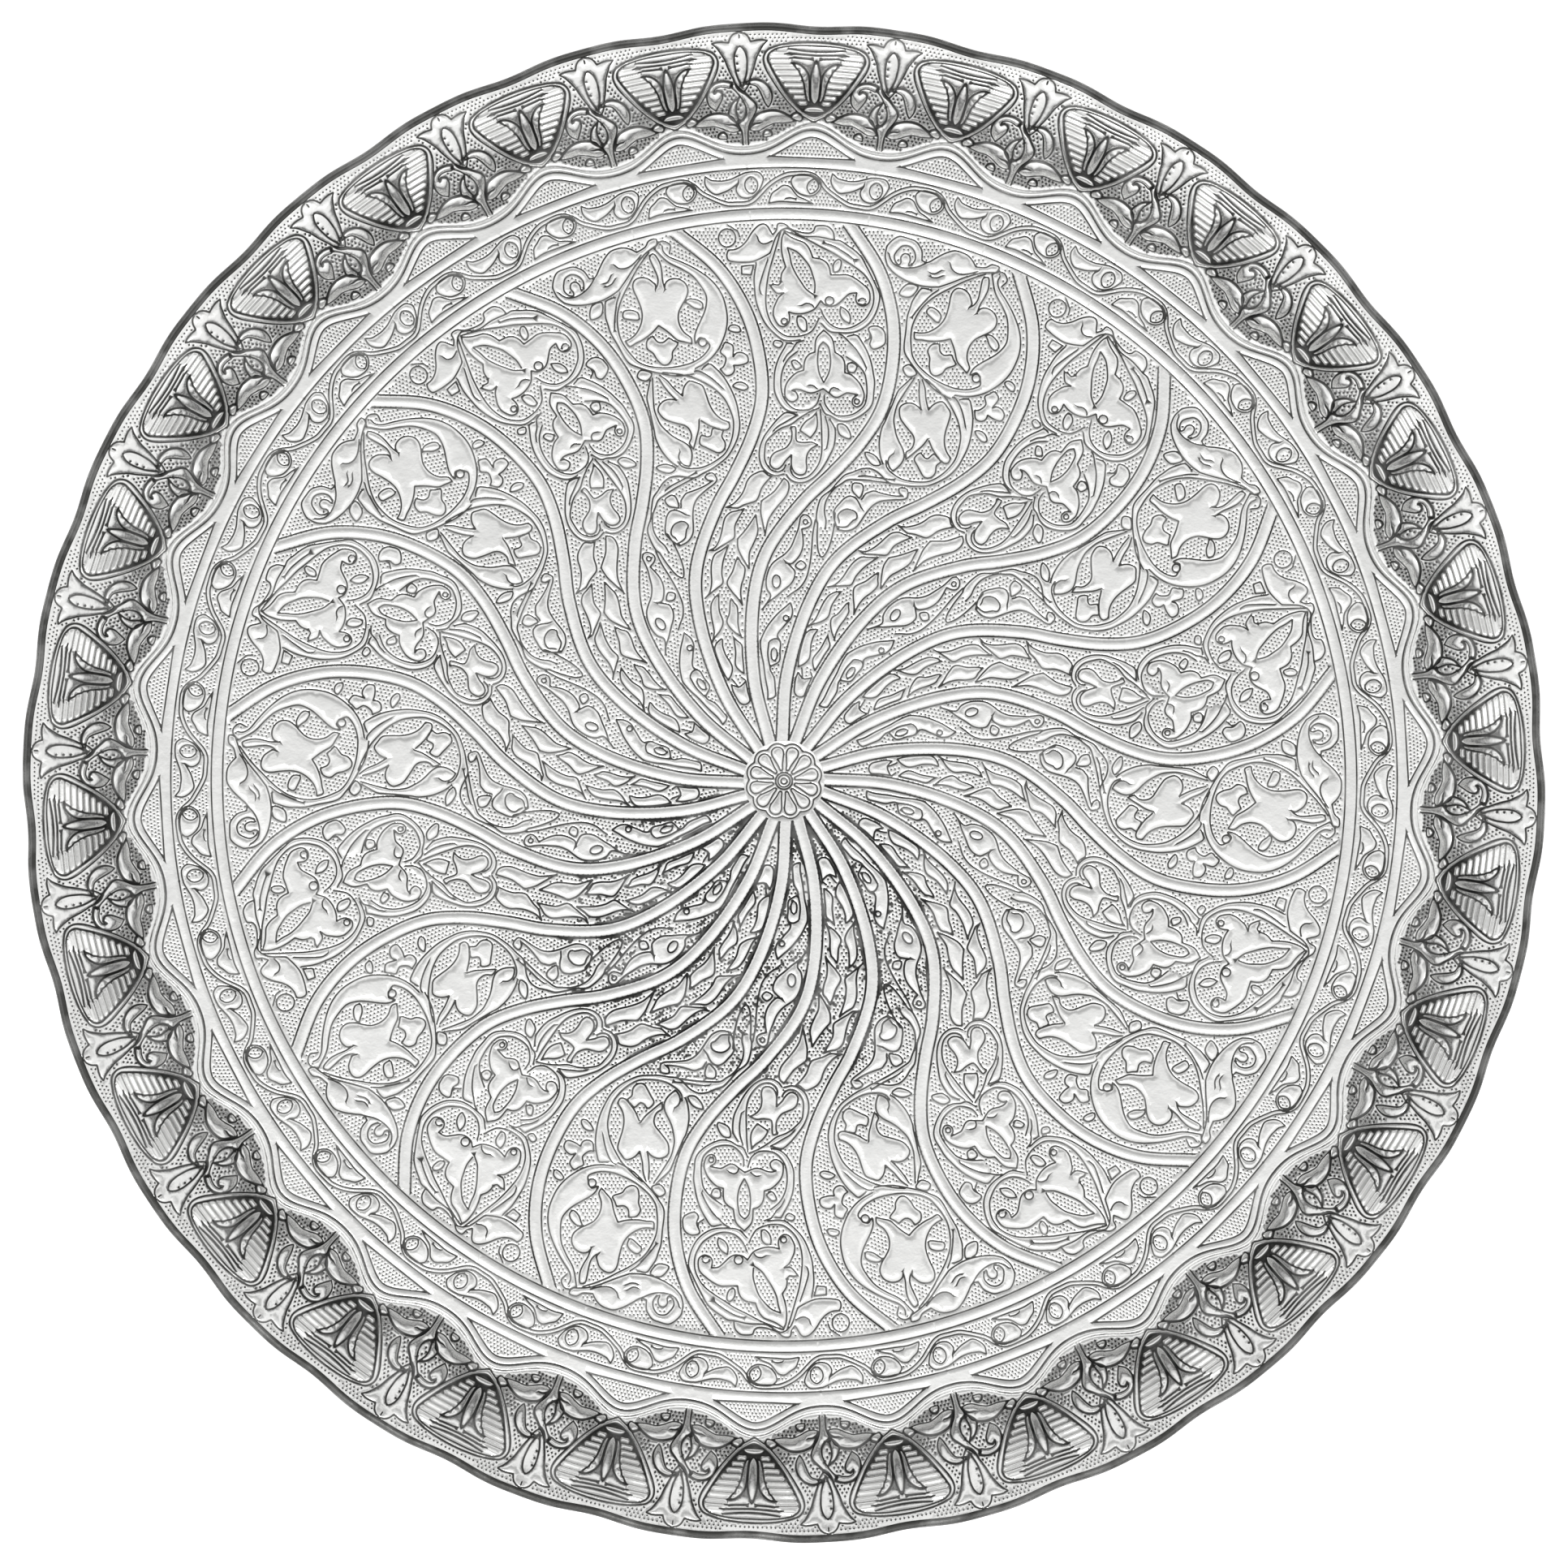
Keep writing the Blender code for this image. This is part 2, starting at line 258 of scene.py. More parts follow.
     [(7.5, 96.3), (7.5, 93), (6.4, 89.7), (4.3, 87), (2.7, 85.9), (1.2, 86.3)],
     [(3.1, 84.5), (4.3, 83), (4.1, 80.5), (2.7, 78), (-0.3, 75.5), (-3.2, 73), (-6.5, 70.5), (-8.2, 68.4)],
     [(-5.3, 73.4), (-6.7, 75.9), (-7.1, 78.8), (-6.5, 82.2), (-5.5, 84.7), (-4.4, 86.3), (-2.3, 88),
      (0.2, 89.7), (2.7, 92.6), (4.3, 96.3), (5.6, 99.7), (6.2, 102.6)]],
    [[(6.8, 87.2), (8.7, 85.3), (7, 83.6), (4.5, 85.1)]],
    [[(0.7, 69), (-2.4, 66.3), (-5.1, 63.2), (-7, 60.5), (-8.5, 57.5), (-9.3, 55.2), (-8.9, 50.2),
      (-8.2, 47), (-7.4, 41), (-6.4, 35.4), (-6.4, 32.3)],
     [(-4.9, 32.7), (-3.5, 33.6), (-3.5, 37.1), (-3.9, 40.9), (-5.5, 44.8), (-1.9, 47.4), (-1.6, 51.6),
      (-1.4, 55), (-2.6, 57.5), (-2, 59), (-0.5, 60.7), (1, 62.5)],
     [(2.6, 64.2), (3.4, 67.2), (2.6, 70.7)]],
]

# sunk, punched openings inside the leaves
OPENINGS = [
    [[(46.8, 211.6), (49.8, 211.4), (51.6, 209.2), (51.9, 206.4), (50.6, 204.2)],
     [(49.2, 204.0), (49.9, 205.9), (49.4, 208.0), (47.6, 208.6), (46.2, 207.2), (46.3, 205.2)],
     [(45.6, 204.2), (44.0, 205.6), (43.6, 207.8), (44.6, 209.6)]],
    [[(2.2, 208.1), (3, 204.3), (4.7, 200.6), (6.8, 197.3), (8.8, 194.5), (11.8, 192.3)],
     [GAP, (12.1, 193.1), (12.2, 196.8), (11.3, 200.2), (10.1, 203.5), (8, 206.4), (5.1, 209.3),
      (1.3, 211)]],
    [[(14, 172), (13.4, 168.7), (13.3, 165.3), (14, 161.2), (15.7, 157.6)],
     [(17.6, 161.2), (18.4, 165.3), (18.2, 168.7), (17.4, 172), (15.5, 173.7)]],
]

# raised stems: the two edges of each
VINES = [
    ([(-11, 204.3), (-11.8, 199.3), (-11.6, 194.3), (-11.1, 190.2), (-9.5, 185.2), (-7.4, 181),
      (-4.1, 177.3), (-0.3, 174.5), (3, 174.1), (6.3, 174.5)],
     [(-1.2, 217.7), (-2.8, 212.3), (-4.5, 206.4), (-6, 201), (-7, 194.3), (-7.2, 189.3), (-6.6, 185.2),
      (-4.9, 181), (-2.4, 178.1), (0.5, 176.2), (3.8, 175.8), (7.2, 176.2), (10.9, 177.9), (12.6, 180.4),
      (13.6, 182.5)]),
    ([(19.9, 213.9), (22.2, 213.7), (25.1, 211.8), (28, 209.8), (30.5, 207.3), (32.6, 203.5),
      (34.3, 200.2), (36.3, 196), (37.8, 192.3), (37.4, 188.5), (36.3, 185.2), (34.3, 181.8),
      (31.8, 179.5), (28.8, 177.9), (25.9, 177.3), (22.2, 177.3), (18, 177.9), (14.7, 181)],
     [(0.1, 217.7), (4.7, 216), (9.7, 213.9), (14.7, 211.2), (19.7, 208.7), (23.8, 206), (28, 203.3),
      (31.8, 200.2), (33.8, 197.3), (35.1, 194.3), (35.5, 191), (35.1, 188.1), (34, 185.6),
      (32.2, 182.9), (29.7, 181), (26.8, 179.5), (23.4, 178.9), (19.7, 179.8), (17.2, 181.8),
      (15.5, 184.3), (14.7, 186.4)]),
    ([(3.2, 173), (1.3, 173.1), (0.1, 171.2), (-2, 167.4), (-3.5, 162.8), (-3.9, 158.3), (-3.7, 154.1),
      (-2.4, 150.8), (-0.3, 147.8), (2.2, 146.2), (4.7, 145.8)],
     [(4.7, 169.5), (1.8, 167), (-0.3, 163.3), (-1.2, 159), (-1, 154.5), (-0.3, 152), (1.3, 149.5),
      (3.8, 147.4), (7.2, 146.7), (10.5, 147.2), (13, 149.3), (13.6, 150.8), (14.3, 153)]),
    ([(25.5, 176), (28.6, 176.4), (30.9, 173.5), (33.4, 168.7), (34.7, 164.5), (35.3, 161.2),
      (35.8, 157.8), (35.5, 153.7), (35.1, 149.9), (33.8, 147.4), (30.9, 144.9), (28, 143.3),
      (24.7, 142.3), (21.3, 142.8), (18.4, 144.5), (16.3, 145.3), (14.6, 148.5)],
     [(24.7, 167.8), (28.8, 164.9), (31.8, 161.2), (32.6, 157.4), (32.8, 154.1), (32.6, 151.2),
      (31.8, 148.7), (29.7, 146.6), (27.2, 145.1), (23.4, 144.4), (20.1, 144.9), (17.6, 147),
      (16.1, 149.5), (15.9, 152.4)]),
    ([(5.5, 144.8), (0.7, 145.7), (-2, 143.7), (-4.1, 141.4), (-6.2, 138.7), (-8, 136), (-9.5, 132),
      (-9.8, 129), (-9.5, 126.6), (-8.3, 123.7), (-5.8, 121.6), (-3.3, 120.8), (-0.3, 121.4)],
     [(13.4, 147.4), (10.5, 146.2), (6.3, 143.7), (3, 141.2), (-1.2, 139.5), (-4.5, 137), (-7, 134.1),
      (-7.6, 130.8), (-7.6, 127.2), (-6.6, 124.9), (-4.9, 123), (-2.4, 122.3), (-0.3, 123.3),
      (0.5, 124.5)]),
    ([(18.4, 142.6), (20.1, 139.5), (20.3, 136.6), (19.7, 132.4), (18, 128.7), (15.9, 124.9),
      (13.4, 121.6), (10.9, 119.5), (8, 118.2), (4.7, 118.2), (2.2, 119.5), (0.9, 121.2)],
     [(14.3, 147), (14.7, 142.8), (14.9, 136.6), (14.9, 130.3), (14.3, 127), (13.4, 124.9),
      (11.3, 122), (8.8, 120.1), (5.5, 119.8), (3.4, 121.2), (2.6, 122.8), (2.6, 124.5)]),
    # ring round the tulip
    ([(57.6, 194.3), (54.5, 194.8), (52.6, 192.6), (50.8, 189.9), (49.7, 186.7), (48.8, 184),
      (48.2, 178.5), (47.6, 169.9), (49.5, 166.3), (52.2, 162.6), (55.4, 159), (59.5, 154.9),
      (63.1, 152.6), (65.8, 151.3)],
     [(79.5, 200.4), (74.9, 199), (70.4, 197.2), (65.8, 194.9), (62.2, 193.1), (58.5, 190.8),
      (54.9, 187.6), (52.2, 183.5), (50.6, 179.5), (50.1, 174.9), (50.4, 170.4), (50.8, 168.1),
      (52.6, 164.9), (55.4, 162), (59, 159.2), (63.1, 157), (67.6, 155.3), (70, 154.9)]),
    ([(67.6, 152.6), (71.7, 152.1), (75.8, 152.4), (79.5, 153.5), (83.1, 155.4), (86.7, 158.1),
      (89.5, 161.3), (91.7, 165.4), (93.1, 169.5), (93.5, 174), (92.9, 178.5), (91.7, 182.2),
      (89.9, 186.3), (87.6, 190.4), (84.9, 194.9), (84.5, 197.6), (85.4, 199.5)],
     [(67.6, 155.3), (71.7, 154.8), (75.4, 155.4), (77.6, 156.7), (76.2, 161.4), (73.5, 160.6),
      (74.9, 163.1), (77.2, 164.9), (80.4, 166.7), (83.5, 168.5), (85.8, 170.4), (87.9, 173.3),
      (88.5, 178.5), (88.1, 183.1), (86.3, 187.6), (83.5, 193.1), (82.2, 200.3)]),
    # large heart
    ([(50.5, 159.6), (48.6, 157.7), (46.7, 156), (45.2, 154.4), (44.2, 152.3), (42.8, 148.8),
      (41.3, 145.4), (39.8, 141.9), (38.8, 140), (37.7, 135), (37.7, 131.5), (38.2, 128), (39, 125.8)],
     [(51.5, 159.2), (49.4, 156.2), (47.1, 152.7), (44.8, 148.8), (43.8, 145.4), (43.4, 142.7),
      (43.8, 139.6), (44.4, 136.9), (45.5, 134.2), (46.7, 131.9), (47.3, 130.2), (47.5, 128.5),
      (46.9, 126.5), (45.5, 124.6), (43.2, 122.7)]),
    ([(40.3, 126.9), (40.5, 124.6), (41.7, 122.7), (43.6, 121.2), (46.3, 119.6), (49.4, 118.7),
      (53.2, 118.3), (57.1, 118.5), (60.2, 119.8), (63.2, 121.9), (65.5, 124.2), (67.5, 126.9),
      (68.6, 129.6), (69.8, 135.4), (69.6, 138.5), (68.6, 142.7), (66.7, 146.9), (64.4, 150.8),
      (61.7, 153.8), (59, 156.5), (56.3, 158.8)],
     [(24.3, 121.2), (27.2, 122.2), (30.5, 123.5), (33.8, 123.7), (37, 122.2), (41.7, 117.9),
      (45.5, 117.3), (49.4, 116.7), (53.2, 116.6), (57.1, 116.9), (60.9, 118.3), (65.2, 120.8),
      (68.6, 124.2), (70.9, 128.1), (72.8, 132.3), (74, 136.9), (74.6, 141.5), (74.6, 144.6),
      (74, 148.5), (73.2, 150.8), (70, 151)]),
    # strands that run from the large heart to the centre
    ([(41.7, 117.9), (34.3, 118.9), (29.3, 119.2), (25.1, 119.1), (22.7, 117.6), (20.2, 115.9),
      (18.1, 113.4), (16.4, 110.1), (16, 106.3), (16.6, 103), (16.4, 100.5)],
     [(27.2, 122.2), (24.3, 121.2), (21, 118), (18.5, 115.1), (15.2, 112.6), (14.3, 111.3),
      (13.1, 107.2), (12.8, 103.4), (13.3, 102)]),
]

# plain chased lines
LINES = [
    [(-6.4, 206.2), (-8.5, 200), (-9.7, 195), (-9.1, 192.7)],
    [(16.3, 212.7), (19.7, 211.6), (22.2, 210.2), (25.1, 208.3), (27.4, 206.5)],
    [(7, 188.1), (9, 189), (10.9, 188.5), (11.8, 187.5)],
    [(-10.5, 215.2), (-9.9, 213.5), (-8.3, 212.5), (-6.6, 212.7), (-4.7, 213.7)],
    [(-22, 219.8), (-19.9, 218.5), (-18.3, 217.3), (-17.5, 215.2)],
    [(34, 176.8), (33.8, 175.2), (32.2, 174.1)],
    [(18, 153.7), (18.4, 154.9), (19.7, 155.7), (21.5, 155.1)],
    [(9.9, 156.6), (11.3, 156.6), (12.8, 155.5)],
    [(-0.3, 166), (1.3, 168.7), (3, 170.3), (5.1, 173.3), (7.2, 174.1)],
    [(21.8, 176.8), (23.4, 176), (25.5, 173.9), (28, 171.4), (29.7, 169), (31.3, 166.2), (32.6, 163.3)],
    [(-4.3, 138.5), (-2.4, 140.3), (0.5, 142), (3, 143.5), (5.5, 144.8)],
    [(16.3, 144.1), (17.4, 140.3), (17.6, 136.6), (17.2, 133.3), (16.8, 131.6)],
    [(-20.1, 39.8), (-17.8, 36.9)], [(-16.8, 41.1), (-15.3, 40)],
    [(41.5, 208.5), (42, 206.7), (43.5, 204.5), (46.3, 203.2), (49.9, 202.9), (53.1, 203.5),
     (56.7, 205.1)],
    [(65.6, 204.9), (66.3, 202.6), (68.1, 201), (70.4, 200.4), (73.1, 200.6), (76.7, 201.5)],
    [(57.9, 201), (59.5, 200.6), (62.4, 202)], [(58.5, 199.2), (60.4, 199), (62.9, 199.9)],
    [(61, 194.2), (58.1, 192.2), (55.4, 189.5), (52.6, 186.3), (50.8, 183.8)],
    [(82.2, 200.3), (85, 201.4), (87, 200.8), (88.2, 197.8), (86.3, 195.8)],
    [(43.4, 129.6), (41.9, 128.5), (41.1, 126.5), (41.7, 124.2), (43, 122.5)],
    [(66.5, 151.9), (67.8, 151.3), (69.2, 149.2), (70.3, 146.5), (71.1, 143.5), (71.7, 140.2)],
    [(43, 119.3), (40, 119.6), (36, 120.2), (32, 120.7), (29.5, 120.6)],
    [(12.3, 103), (11.4, 98), (11, 92.6), (10.6, 88.4), (9.8, 83.8), (8.5, 79.7), (6, 76.3), (3.1, 74.3),
     (1.4, 73)],
    [(13.3, 102), (13.1, 96), (13.7, 90.5), (15, 88.6), (16.8, 90.5), (18.5, 94.7), (19.8, 101),
     (20.2, 106)],
    [(21.4, 100.7), (23, 100.5), (25, 100.8), (26.2, 102), (27.4, 103.2)],
    [(27.8, 103.3), (28.8, 104), (28.7, 105.8), (27.5, 107), (24.6, 107.6), (22.3, 106.5), (21.3, 105),
     (21.8, 103)],
    [(-5.5, 55.5), (-3.9, 56.3), (-2.4, 56.1), (-1.4, 55)],
    [(-6, 54.8), (-6.4, 50.2), (-5.5, 44.8)],
]

# small rings: x, y, half width, half height
RINGS = [
    (31, 189.7, 1.4, 1.4), (18, 189.9, 1.7, 1.7), (0.1, 181.9, 1.2, 1.2), (-22.5, 214.8, 3.4, 3.6),
    (28.8, 150.2, 1.0, 1.0), (76, 159.3, 1.6, 1.6), (-3, 79, 1.6, 2.6), (0.8, 64.5, 1.1, 1.1),
    (-3.9, 50.2, 1.2, 2.6), (8.5, 102.6, 0.9, 1.0),
]

# the rosette: one side of a petal that points along +X, and the arch round its tip
PETAL = [(4.3, 0.35), (6.5, 0.9), (9, 1.75), (11, 2.35), (12.6, 2.1), (13.4, 1.2), (13.7, 0)]
PETAL_ARCH = [(13.3, -3.55), (14.3, -2.4), (14.9, -1.2), (15.1, 0), (14.9, 1.2), (14.3, 2.4), (13.3, 3.55)]

# the black patch in the well: a painted dark reflection below the centre
REFLECTION_X = -14.0
REFLECTION_Y = -64.0
REFLECTION_REACH = 86.0        # it ends this far from its middle
REFLECTION_FADE = 50.0         # and fades over this width
REFLECTION_WIDE = 1.25         # it is this much wider than tall

# =====================================================================================
# One of the thirty lobes: vine frieze, ledge, bead, shield and half a lily on each side.
# (degrees clockwise from the shield's middle, radius in millimetres)
# =====================================================================================

LOBE_WIDE = 4.7           # millimetres a degree spans half way up the wall

# the running vine's upper line over one lobe; it goes on into the next
FRIEZE_VINE = [(-4.8, 233.8), (-4.2, 236.2), (-3.3, 238.8), (-2.3, 240.6), (-1.5, 241), (-0.3, 241.1),
               (0.3, 240.4), (0.9, 238.6), (1.6, 235.3), (2.3, 233.3), (3.2, 231.2), (3.9, 230),
               (4.8, 229.7), (5.8, 229.7), (6.4, 230.8), (7.2, 233.8)]
FRIEZE_VINE_WIDE = 1.5
FRIEZE_LEAVES = [
    [[(2.2, 240.3), (2.5, 239.3), (3, 238.8), (3.6, 238.5), (4.4, 238.9), (5, 239.8), (5.5, 240.6),
      (5.8, 241), (7, 241), (7.3, 239.9), (7.5, 238.4)],
     [(7.3, 236), (7.0, 233.8), (6.4, 231.6), (5.8, 231.0), (5.1, 232), (4.8, 234.6), (5.1, 237.2)],
     [(4.2, 234.9), (3.5, 233.9), (2.8, 233.5), (2.2, 235.4), (1.9, 238), (2.0, 241)]],
    [[(-3.9, 231), (-3.7, 232.6), (-3.2, 234), (-2.6, 235.6), (-2, 235), (-1.6, 233), (-1.2, 231.3),
      (-0.4, 230), (0.3, 228.6)],
     [(-1.6, 228.9), (-3, 229.2), (-4.1, 228.6)]],
    [[(-1.7, 235), (-1.2, 232.8), (-0.8, 232), (0, 231.6), (0.5, 232.4), (0.9, 234.3), (1.0, 236),
      (0.9, 237.5), (0.3, 239.4), (-0.6, 240), (-1.5, 239.5), (-1.9, 237.5)]],
]
FRIEZE_OPENINGS = [
    [[(5.75, 237.6), (5.7, 235), (6.1, 232.9), (6.6, 233.2), (6.9, 235.6), (6.8, 237.8), (6.3, 239.3)]],
    [[(-0.2, 236.9), (-0.35, 234.6), (0, 232.6), (0.5, 233.6), (0.75, 235.8), (0.35, 238.3)]],
]
FRIEZE_FOLD = [(-2.4, 230.4), (-1.9, 230.7), (-1.5, 230.3)]
FRIEZE_RULES = (222.1, 226.6, 242.6)      # radii of the plain rings on both sides of it

# punched triangle on the ledge inside each shield
TRIANGLE = [
    [(-3.8, 247.1), (-1.8, 246.7), (0, 246.6), (1.8, 246.7), (3.8, 247.1)],
    [(-3.8, 247.1), (-3.0, 248.8), (-1.9, 251.5), (-0.8, 254.0), (0, 254.8), (0.8, 254.0), (1.9, 251.5),
     (3.0, 248.8), (3.8, 247.1)],
]

SHIELD = [(0, 261.1), (0.6, 262.3), (1.2, 263.9), (1.8, 266.6), (2.3, 269.1), (2.8, 272.1), (3.2, 274.9),
          (3.6, 278), (3.95, 281), (4.15, 283.6), (4.2, 285.9), (4.1, 287.7), (3.8, 289.6), (3.2, 290.8),
          (2.4, 291.7), (1.2, 292.3), (0, 292.5)]
SHIELD_TOP = 292.5
SHIELD_INNER = [(0, 263.3), (0.8, 264.8), (1.5, 267.4), (2.1, 270.6), (2.6, 273.8), (3.05, 277.4),
                (3.4, 280.5), (3.7, 283.6), (3.85, 285.6), (3.75, 287.7), (3.4, 289.3), (2.6, 290.4),
                (1.4, 291), (0, 291)]
# ribs across the shield: radius, inner end, outer end
RIBS = [(268.4, 0.75, 1.3), (270.7, 0.85, 1.75), (272.9, 0.95, 2.15), (275.3, 1.0, 2.55),
        (277.6, 1.1, 2.9), (279.9, 1.25, 3.2), (282.3, 1.6, 3.45), (284.6, 2.1, 3.65),
        (286.7, 2.0, 3.75), (288.3, 2.4, 3.5)]
LOTUS_MIDDLE = [(0, 268), (0.3, 270), (0.38, 273), (0.4, 278.5), (0.32, 281), (0.2, 283), (0, 285.1)]
LOTUS_FOOT = [(-0.95, 265.3), (-0.6, 266.8), (0.6, 266.8), (0.95, 265.3), (0.6, 264.9), (-0.6, 264.9),
              (-0.95, 265.3)]
LOTUS_SIDE = [
    [(0.3, 267.9), (0.6, 269.3), (0.8, 272.4), (0.92, 275.7), (1.15, 279), (1.5, 282), (1.95, 284.3)],
    [(1.95, 284.3), (1.4, 283.8), (0.95, 282.2), (0.6, 279.8), (0.5, 277.2), (0.45, 272), (0.3, 267.9)],
]
SHIELD_ARCS = [
    [(0, 288.6), (0.9, 288.8), (2.2, 289.7)], [(0, 287.1), (1.4, 287.5), (2.4, 288.0)],
    [(0.5, 285.7), (1.4, 286.0), (2.1, 286.4)],
]
# lily and its leaves, in degrees from the lily's middle
LILY_HEAD = [
    [(0, 296.8), (0.35, 296.4), (0.65, 295.1), (0.85, 292.9)],
    [(0.85, 292.9), (1.3, 293.3), (1.8, 293.4), (2.15, 293.0)],
    [(2.15, 293.0), (1.8, 291.2), (1.5, 288.7), (1.25, 286.2), (1.05, 283.0), (0.85, 280.3), (0.65, 278),
     (0.5, 275.6), (0.25, 273.8), (0, 273.2)],
]
LILY_SLIT = [(0, 291.2), (0.35, 289.3), (0.5, 286.2), (0.48, 283.2), (0.4, 280.3), (0.2, 277.3),
             (0, 275.1)]
LILY_NICK = [(0, 295.9), (0, 294.6)]
STRAND_RIGHT = [
    [(-0.6, 277.0), (-0.35, 275.4), (0.1, 273.0), (0.6, 270.6), (1.05, 268.2), (1.1, 266.2), (0.85, 263.6),
     (0.5, 261.0), (0.3, 258.0), (0.24, 255.0), (0.26, 252.0)],
    [(-0.26, 252.0), (-0.24, 255.0), (-0.3, 258.0), (-0.5, 260.6), (-0.2, 261.9), (0.12, 263.4),
     (0.22, 266.0), (0.1, 268.6), (-0.2, 271.2), (-0.6, 273.8), (-1.0, 275.6)],
    [(-1.0, 275.6), (-0.8, 276.8), (-0.6, 277.0)],
]
STRAND_LEFT = [
    [(-0.3, 270.8), (-0.8, 269.4), (-1.2, 266.6), (-1.3, 264.2), (-0.9, 262.0), (-0.5, 260.6)],
    [(-0.5, 260.6), (-0.5, 262.6), (-0.62, 265.0), (-0.6, 267.6), (-0.3, 270.8)],
]
LILY_CURL_LEFT = [
    [(-0.75, 276.9), (-1.5, 277.9), (-2.25, 277.3), (-2.8, 274.8), (-3.0, 271.6), (-2.85, 268.6),
     (-2.35, 266.4)],
    [(-2.35, 266.4), (-2.0, 268.8), (-1.7, 271.4), (-1.72, 273.4), (-2.05, 274.3), (-2.35, 273.2)],
    [(-2.35, 273.2), (-2.3, 274.8), (-1.9, 275.7), (-1.4, 275.5), (-0.95, 274.9), (-0.75, 276.9)],
]
LILY_CURL_RIGHT = [
    [(0.1, 276.4), (0.45, 277.3), (1.1, 277.9), (1.75, 276.8), (2.25, 274.2), (2.45, 271.2), (2.35, 268.6),
     (2.1, 266.6)],
    [(2.1, 266.6), (1.85, 268.4), (1.6, 271.2), (1.4, 273.4), (1.15, 275.2), (0.75, 275.9), (0.1, 276.4)],
]
WING_LEFT = [[(-0.95, 263.4), (-1.4, 264.5), (-2.2, 265.4), (-3.0, 265.1), (-3.8, 263.4), (-4.5, 261.2)],
             [(-4.5, 261.2), (-3.5, 260.4), (-2.6, 260.3), (-2.0, 259.2), (-1.4, 257.8), (-0.9, 257.4),
             (-0.4, 257.9)], [(-0.4, 257.9), (-0.62, 260.4), (-0.95, 263.4)]]
WING_FOLD = [(-1.35, 260.9), (-0.95, 260.7), (-0.6, 259.7)]
TIP_LEAF = [(-4.9, 261.2), (-5.0, 263.4), (-4.6, 264.6), (-4.0, 262.9), (-4.9, 261.2)]
BUD = [(-2.4, 255.6), (-2.3, 257.0), (-1.95, 257.7), (-1.65, 256.8), (-1.6, 255.2), (-2.0, 255.0),
       (-2.4, 255.6)]

# ------------------------------------------------------------------ shared helpers


def smooth(share):
    share = np.clip(share, 0.0, 1.0)
    return share * share * (3.0 - 2.0 * share)


def bulge(share):
    """1 on a line, falling to 0 at a share of 1 of its half width."""
    return np.clip(1.0 - share ** 2, 0.0, 1.0)


def joined(outline):
    """The outline's strokes in full: each starts where the one before it ended, or after a gap."""
    return [stroke[1:] if stroke[0] is GAP else [before[-1]] + stroke
            for before, stroke in zip(outline[-1:] + outline, outline)]


def ring(x, y, wide, tall, sides):
    turns = [math.tau * k / sides for k in range(sides + 1)]
    return [(x + wide * math.cos(a), y + tall * math.sin(a)) for a in turns]


def spline(points, step):
    """Points about a step apart on a smooth line through the given ones."""
    p = np.array(points, float)
    if len(p) == 2:
        n = max(1, round(float(np.linalg.norm(p[1] - p[0])) / step))
        return p[0] + (p[1] - p[0]) * np.linspace(0, 1, n + 1)[:, None]
    if np.allclose(p[0], p[-1]):
        p = np.vstack([p[-2], p, p[1]])
    else:
        p = np.vstack([2 * p[0] - p[1], p, 2 * p[-1] - p[-2]])
    out = []
    for i in range(1, len(p) - 2):
        a, b, c, d = p[i - 1:i + 3]
        t1 = np.linalg.norm(b - a) ** 0.5 + 1e-6
        t2 = t1 + np.linalg.norm(c - b) ** 0.5 + 1e-6
        t3 = t2 + np.linalg.norm(d - c) ** 0.5 + 1e-6
        n = max(1, round(float(np.linalg.norm(c - b)) / step))
        t = (t1 + (t2 - t1) * np.arange(n) / n)[:, None]
        ab = a * (t1 - t) / t1 + b * t / t1
        bc = b * (t2 - t) / (t2 - t1) + c * (t - t1) / (t2 - t1)
        cd = c * (t3 - t) / (t3 - t2) + d * (t - t2) / (t3 - t2)
        abc = ab * (t2 - t) / t2 + bc * t / t2
        bcd = bc * (t3 - t) / (t3 - t1) + cd * (t - t1) / (t3 - t1)
        out.append(abc * (t2 - t) / (t2 - t1) + bcd * (t - t1) / (t2 - t1))
    out.append(p[-2:-1])
    return np.vstack(out)


def turned(points, degrees):
    c, s = math.cos(math.radians(degrees)), math.sin(math.radians(degrees))
    return np.column_stack([points[:, 0] * c - points[:, 1] * s, points[:, 0] * s + points[:, 1] * c])


def aside(points, distance):
    """A line to the left of the given one (to its right for a negative distance)."""
    way = np.gradient(points, axis=0)
    way /= np.linalg.norm(way, axis=1)[:, None] + 1e-9
    return points + np.column_stack([-way[:, 1], way[:, 0]]) * distance


def inside(polygon, points):
    x, y = points[:, 0], points[:, 1]
    hit = np.zeros(len(points), bool)
    low, high = polygon.min(axis=0), polygon.max(axis=0)
    near = np.flatnonzero((x >= low[0]) & (x <= high[0]) & (y >= low[1]) & (y <= high[1]))
    px, py = x[near], y[near]
    odd = np.zeros(len(near), bool)
    for (ax, ay), (bx, by) in zip(polygon, np.roll(polygon, -1, axis=0)):
        if ay != by:
            odd ^= ((ay > py) != (by > py)) & (px < (bx - ax) * (py - ay) / (by - ay) + ax)
    hit[near] = odd
    return hit


def tree_of(lines):
    points = np.vstack(lines) if lines else np.array([[1e6, 1e6]])
    tree = KDTree(len(points))
    for i, (x, y) in enumerate(points):
        tree.insert((x, y, 0.0), i)
    tree.balance()
    return tree


def distances(tree, points):
    return np.array([tree.find((x, y, 0.0))[2] for x, y in points])


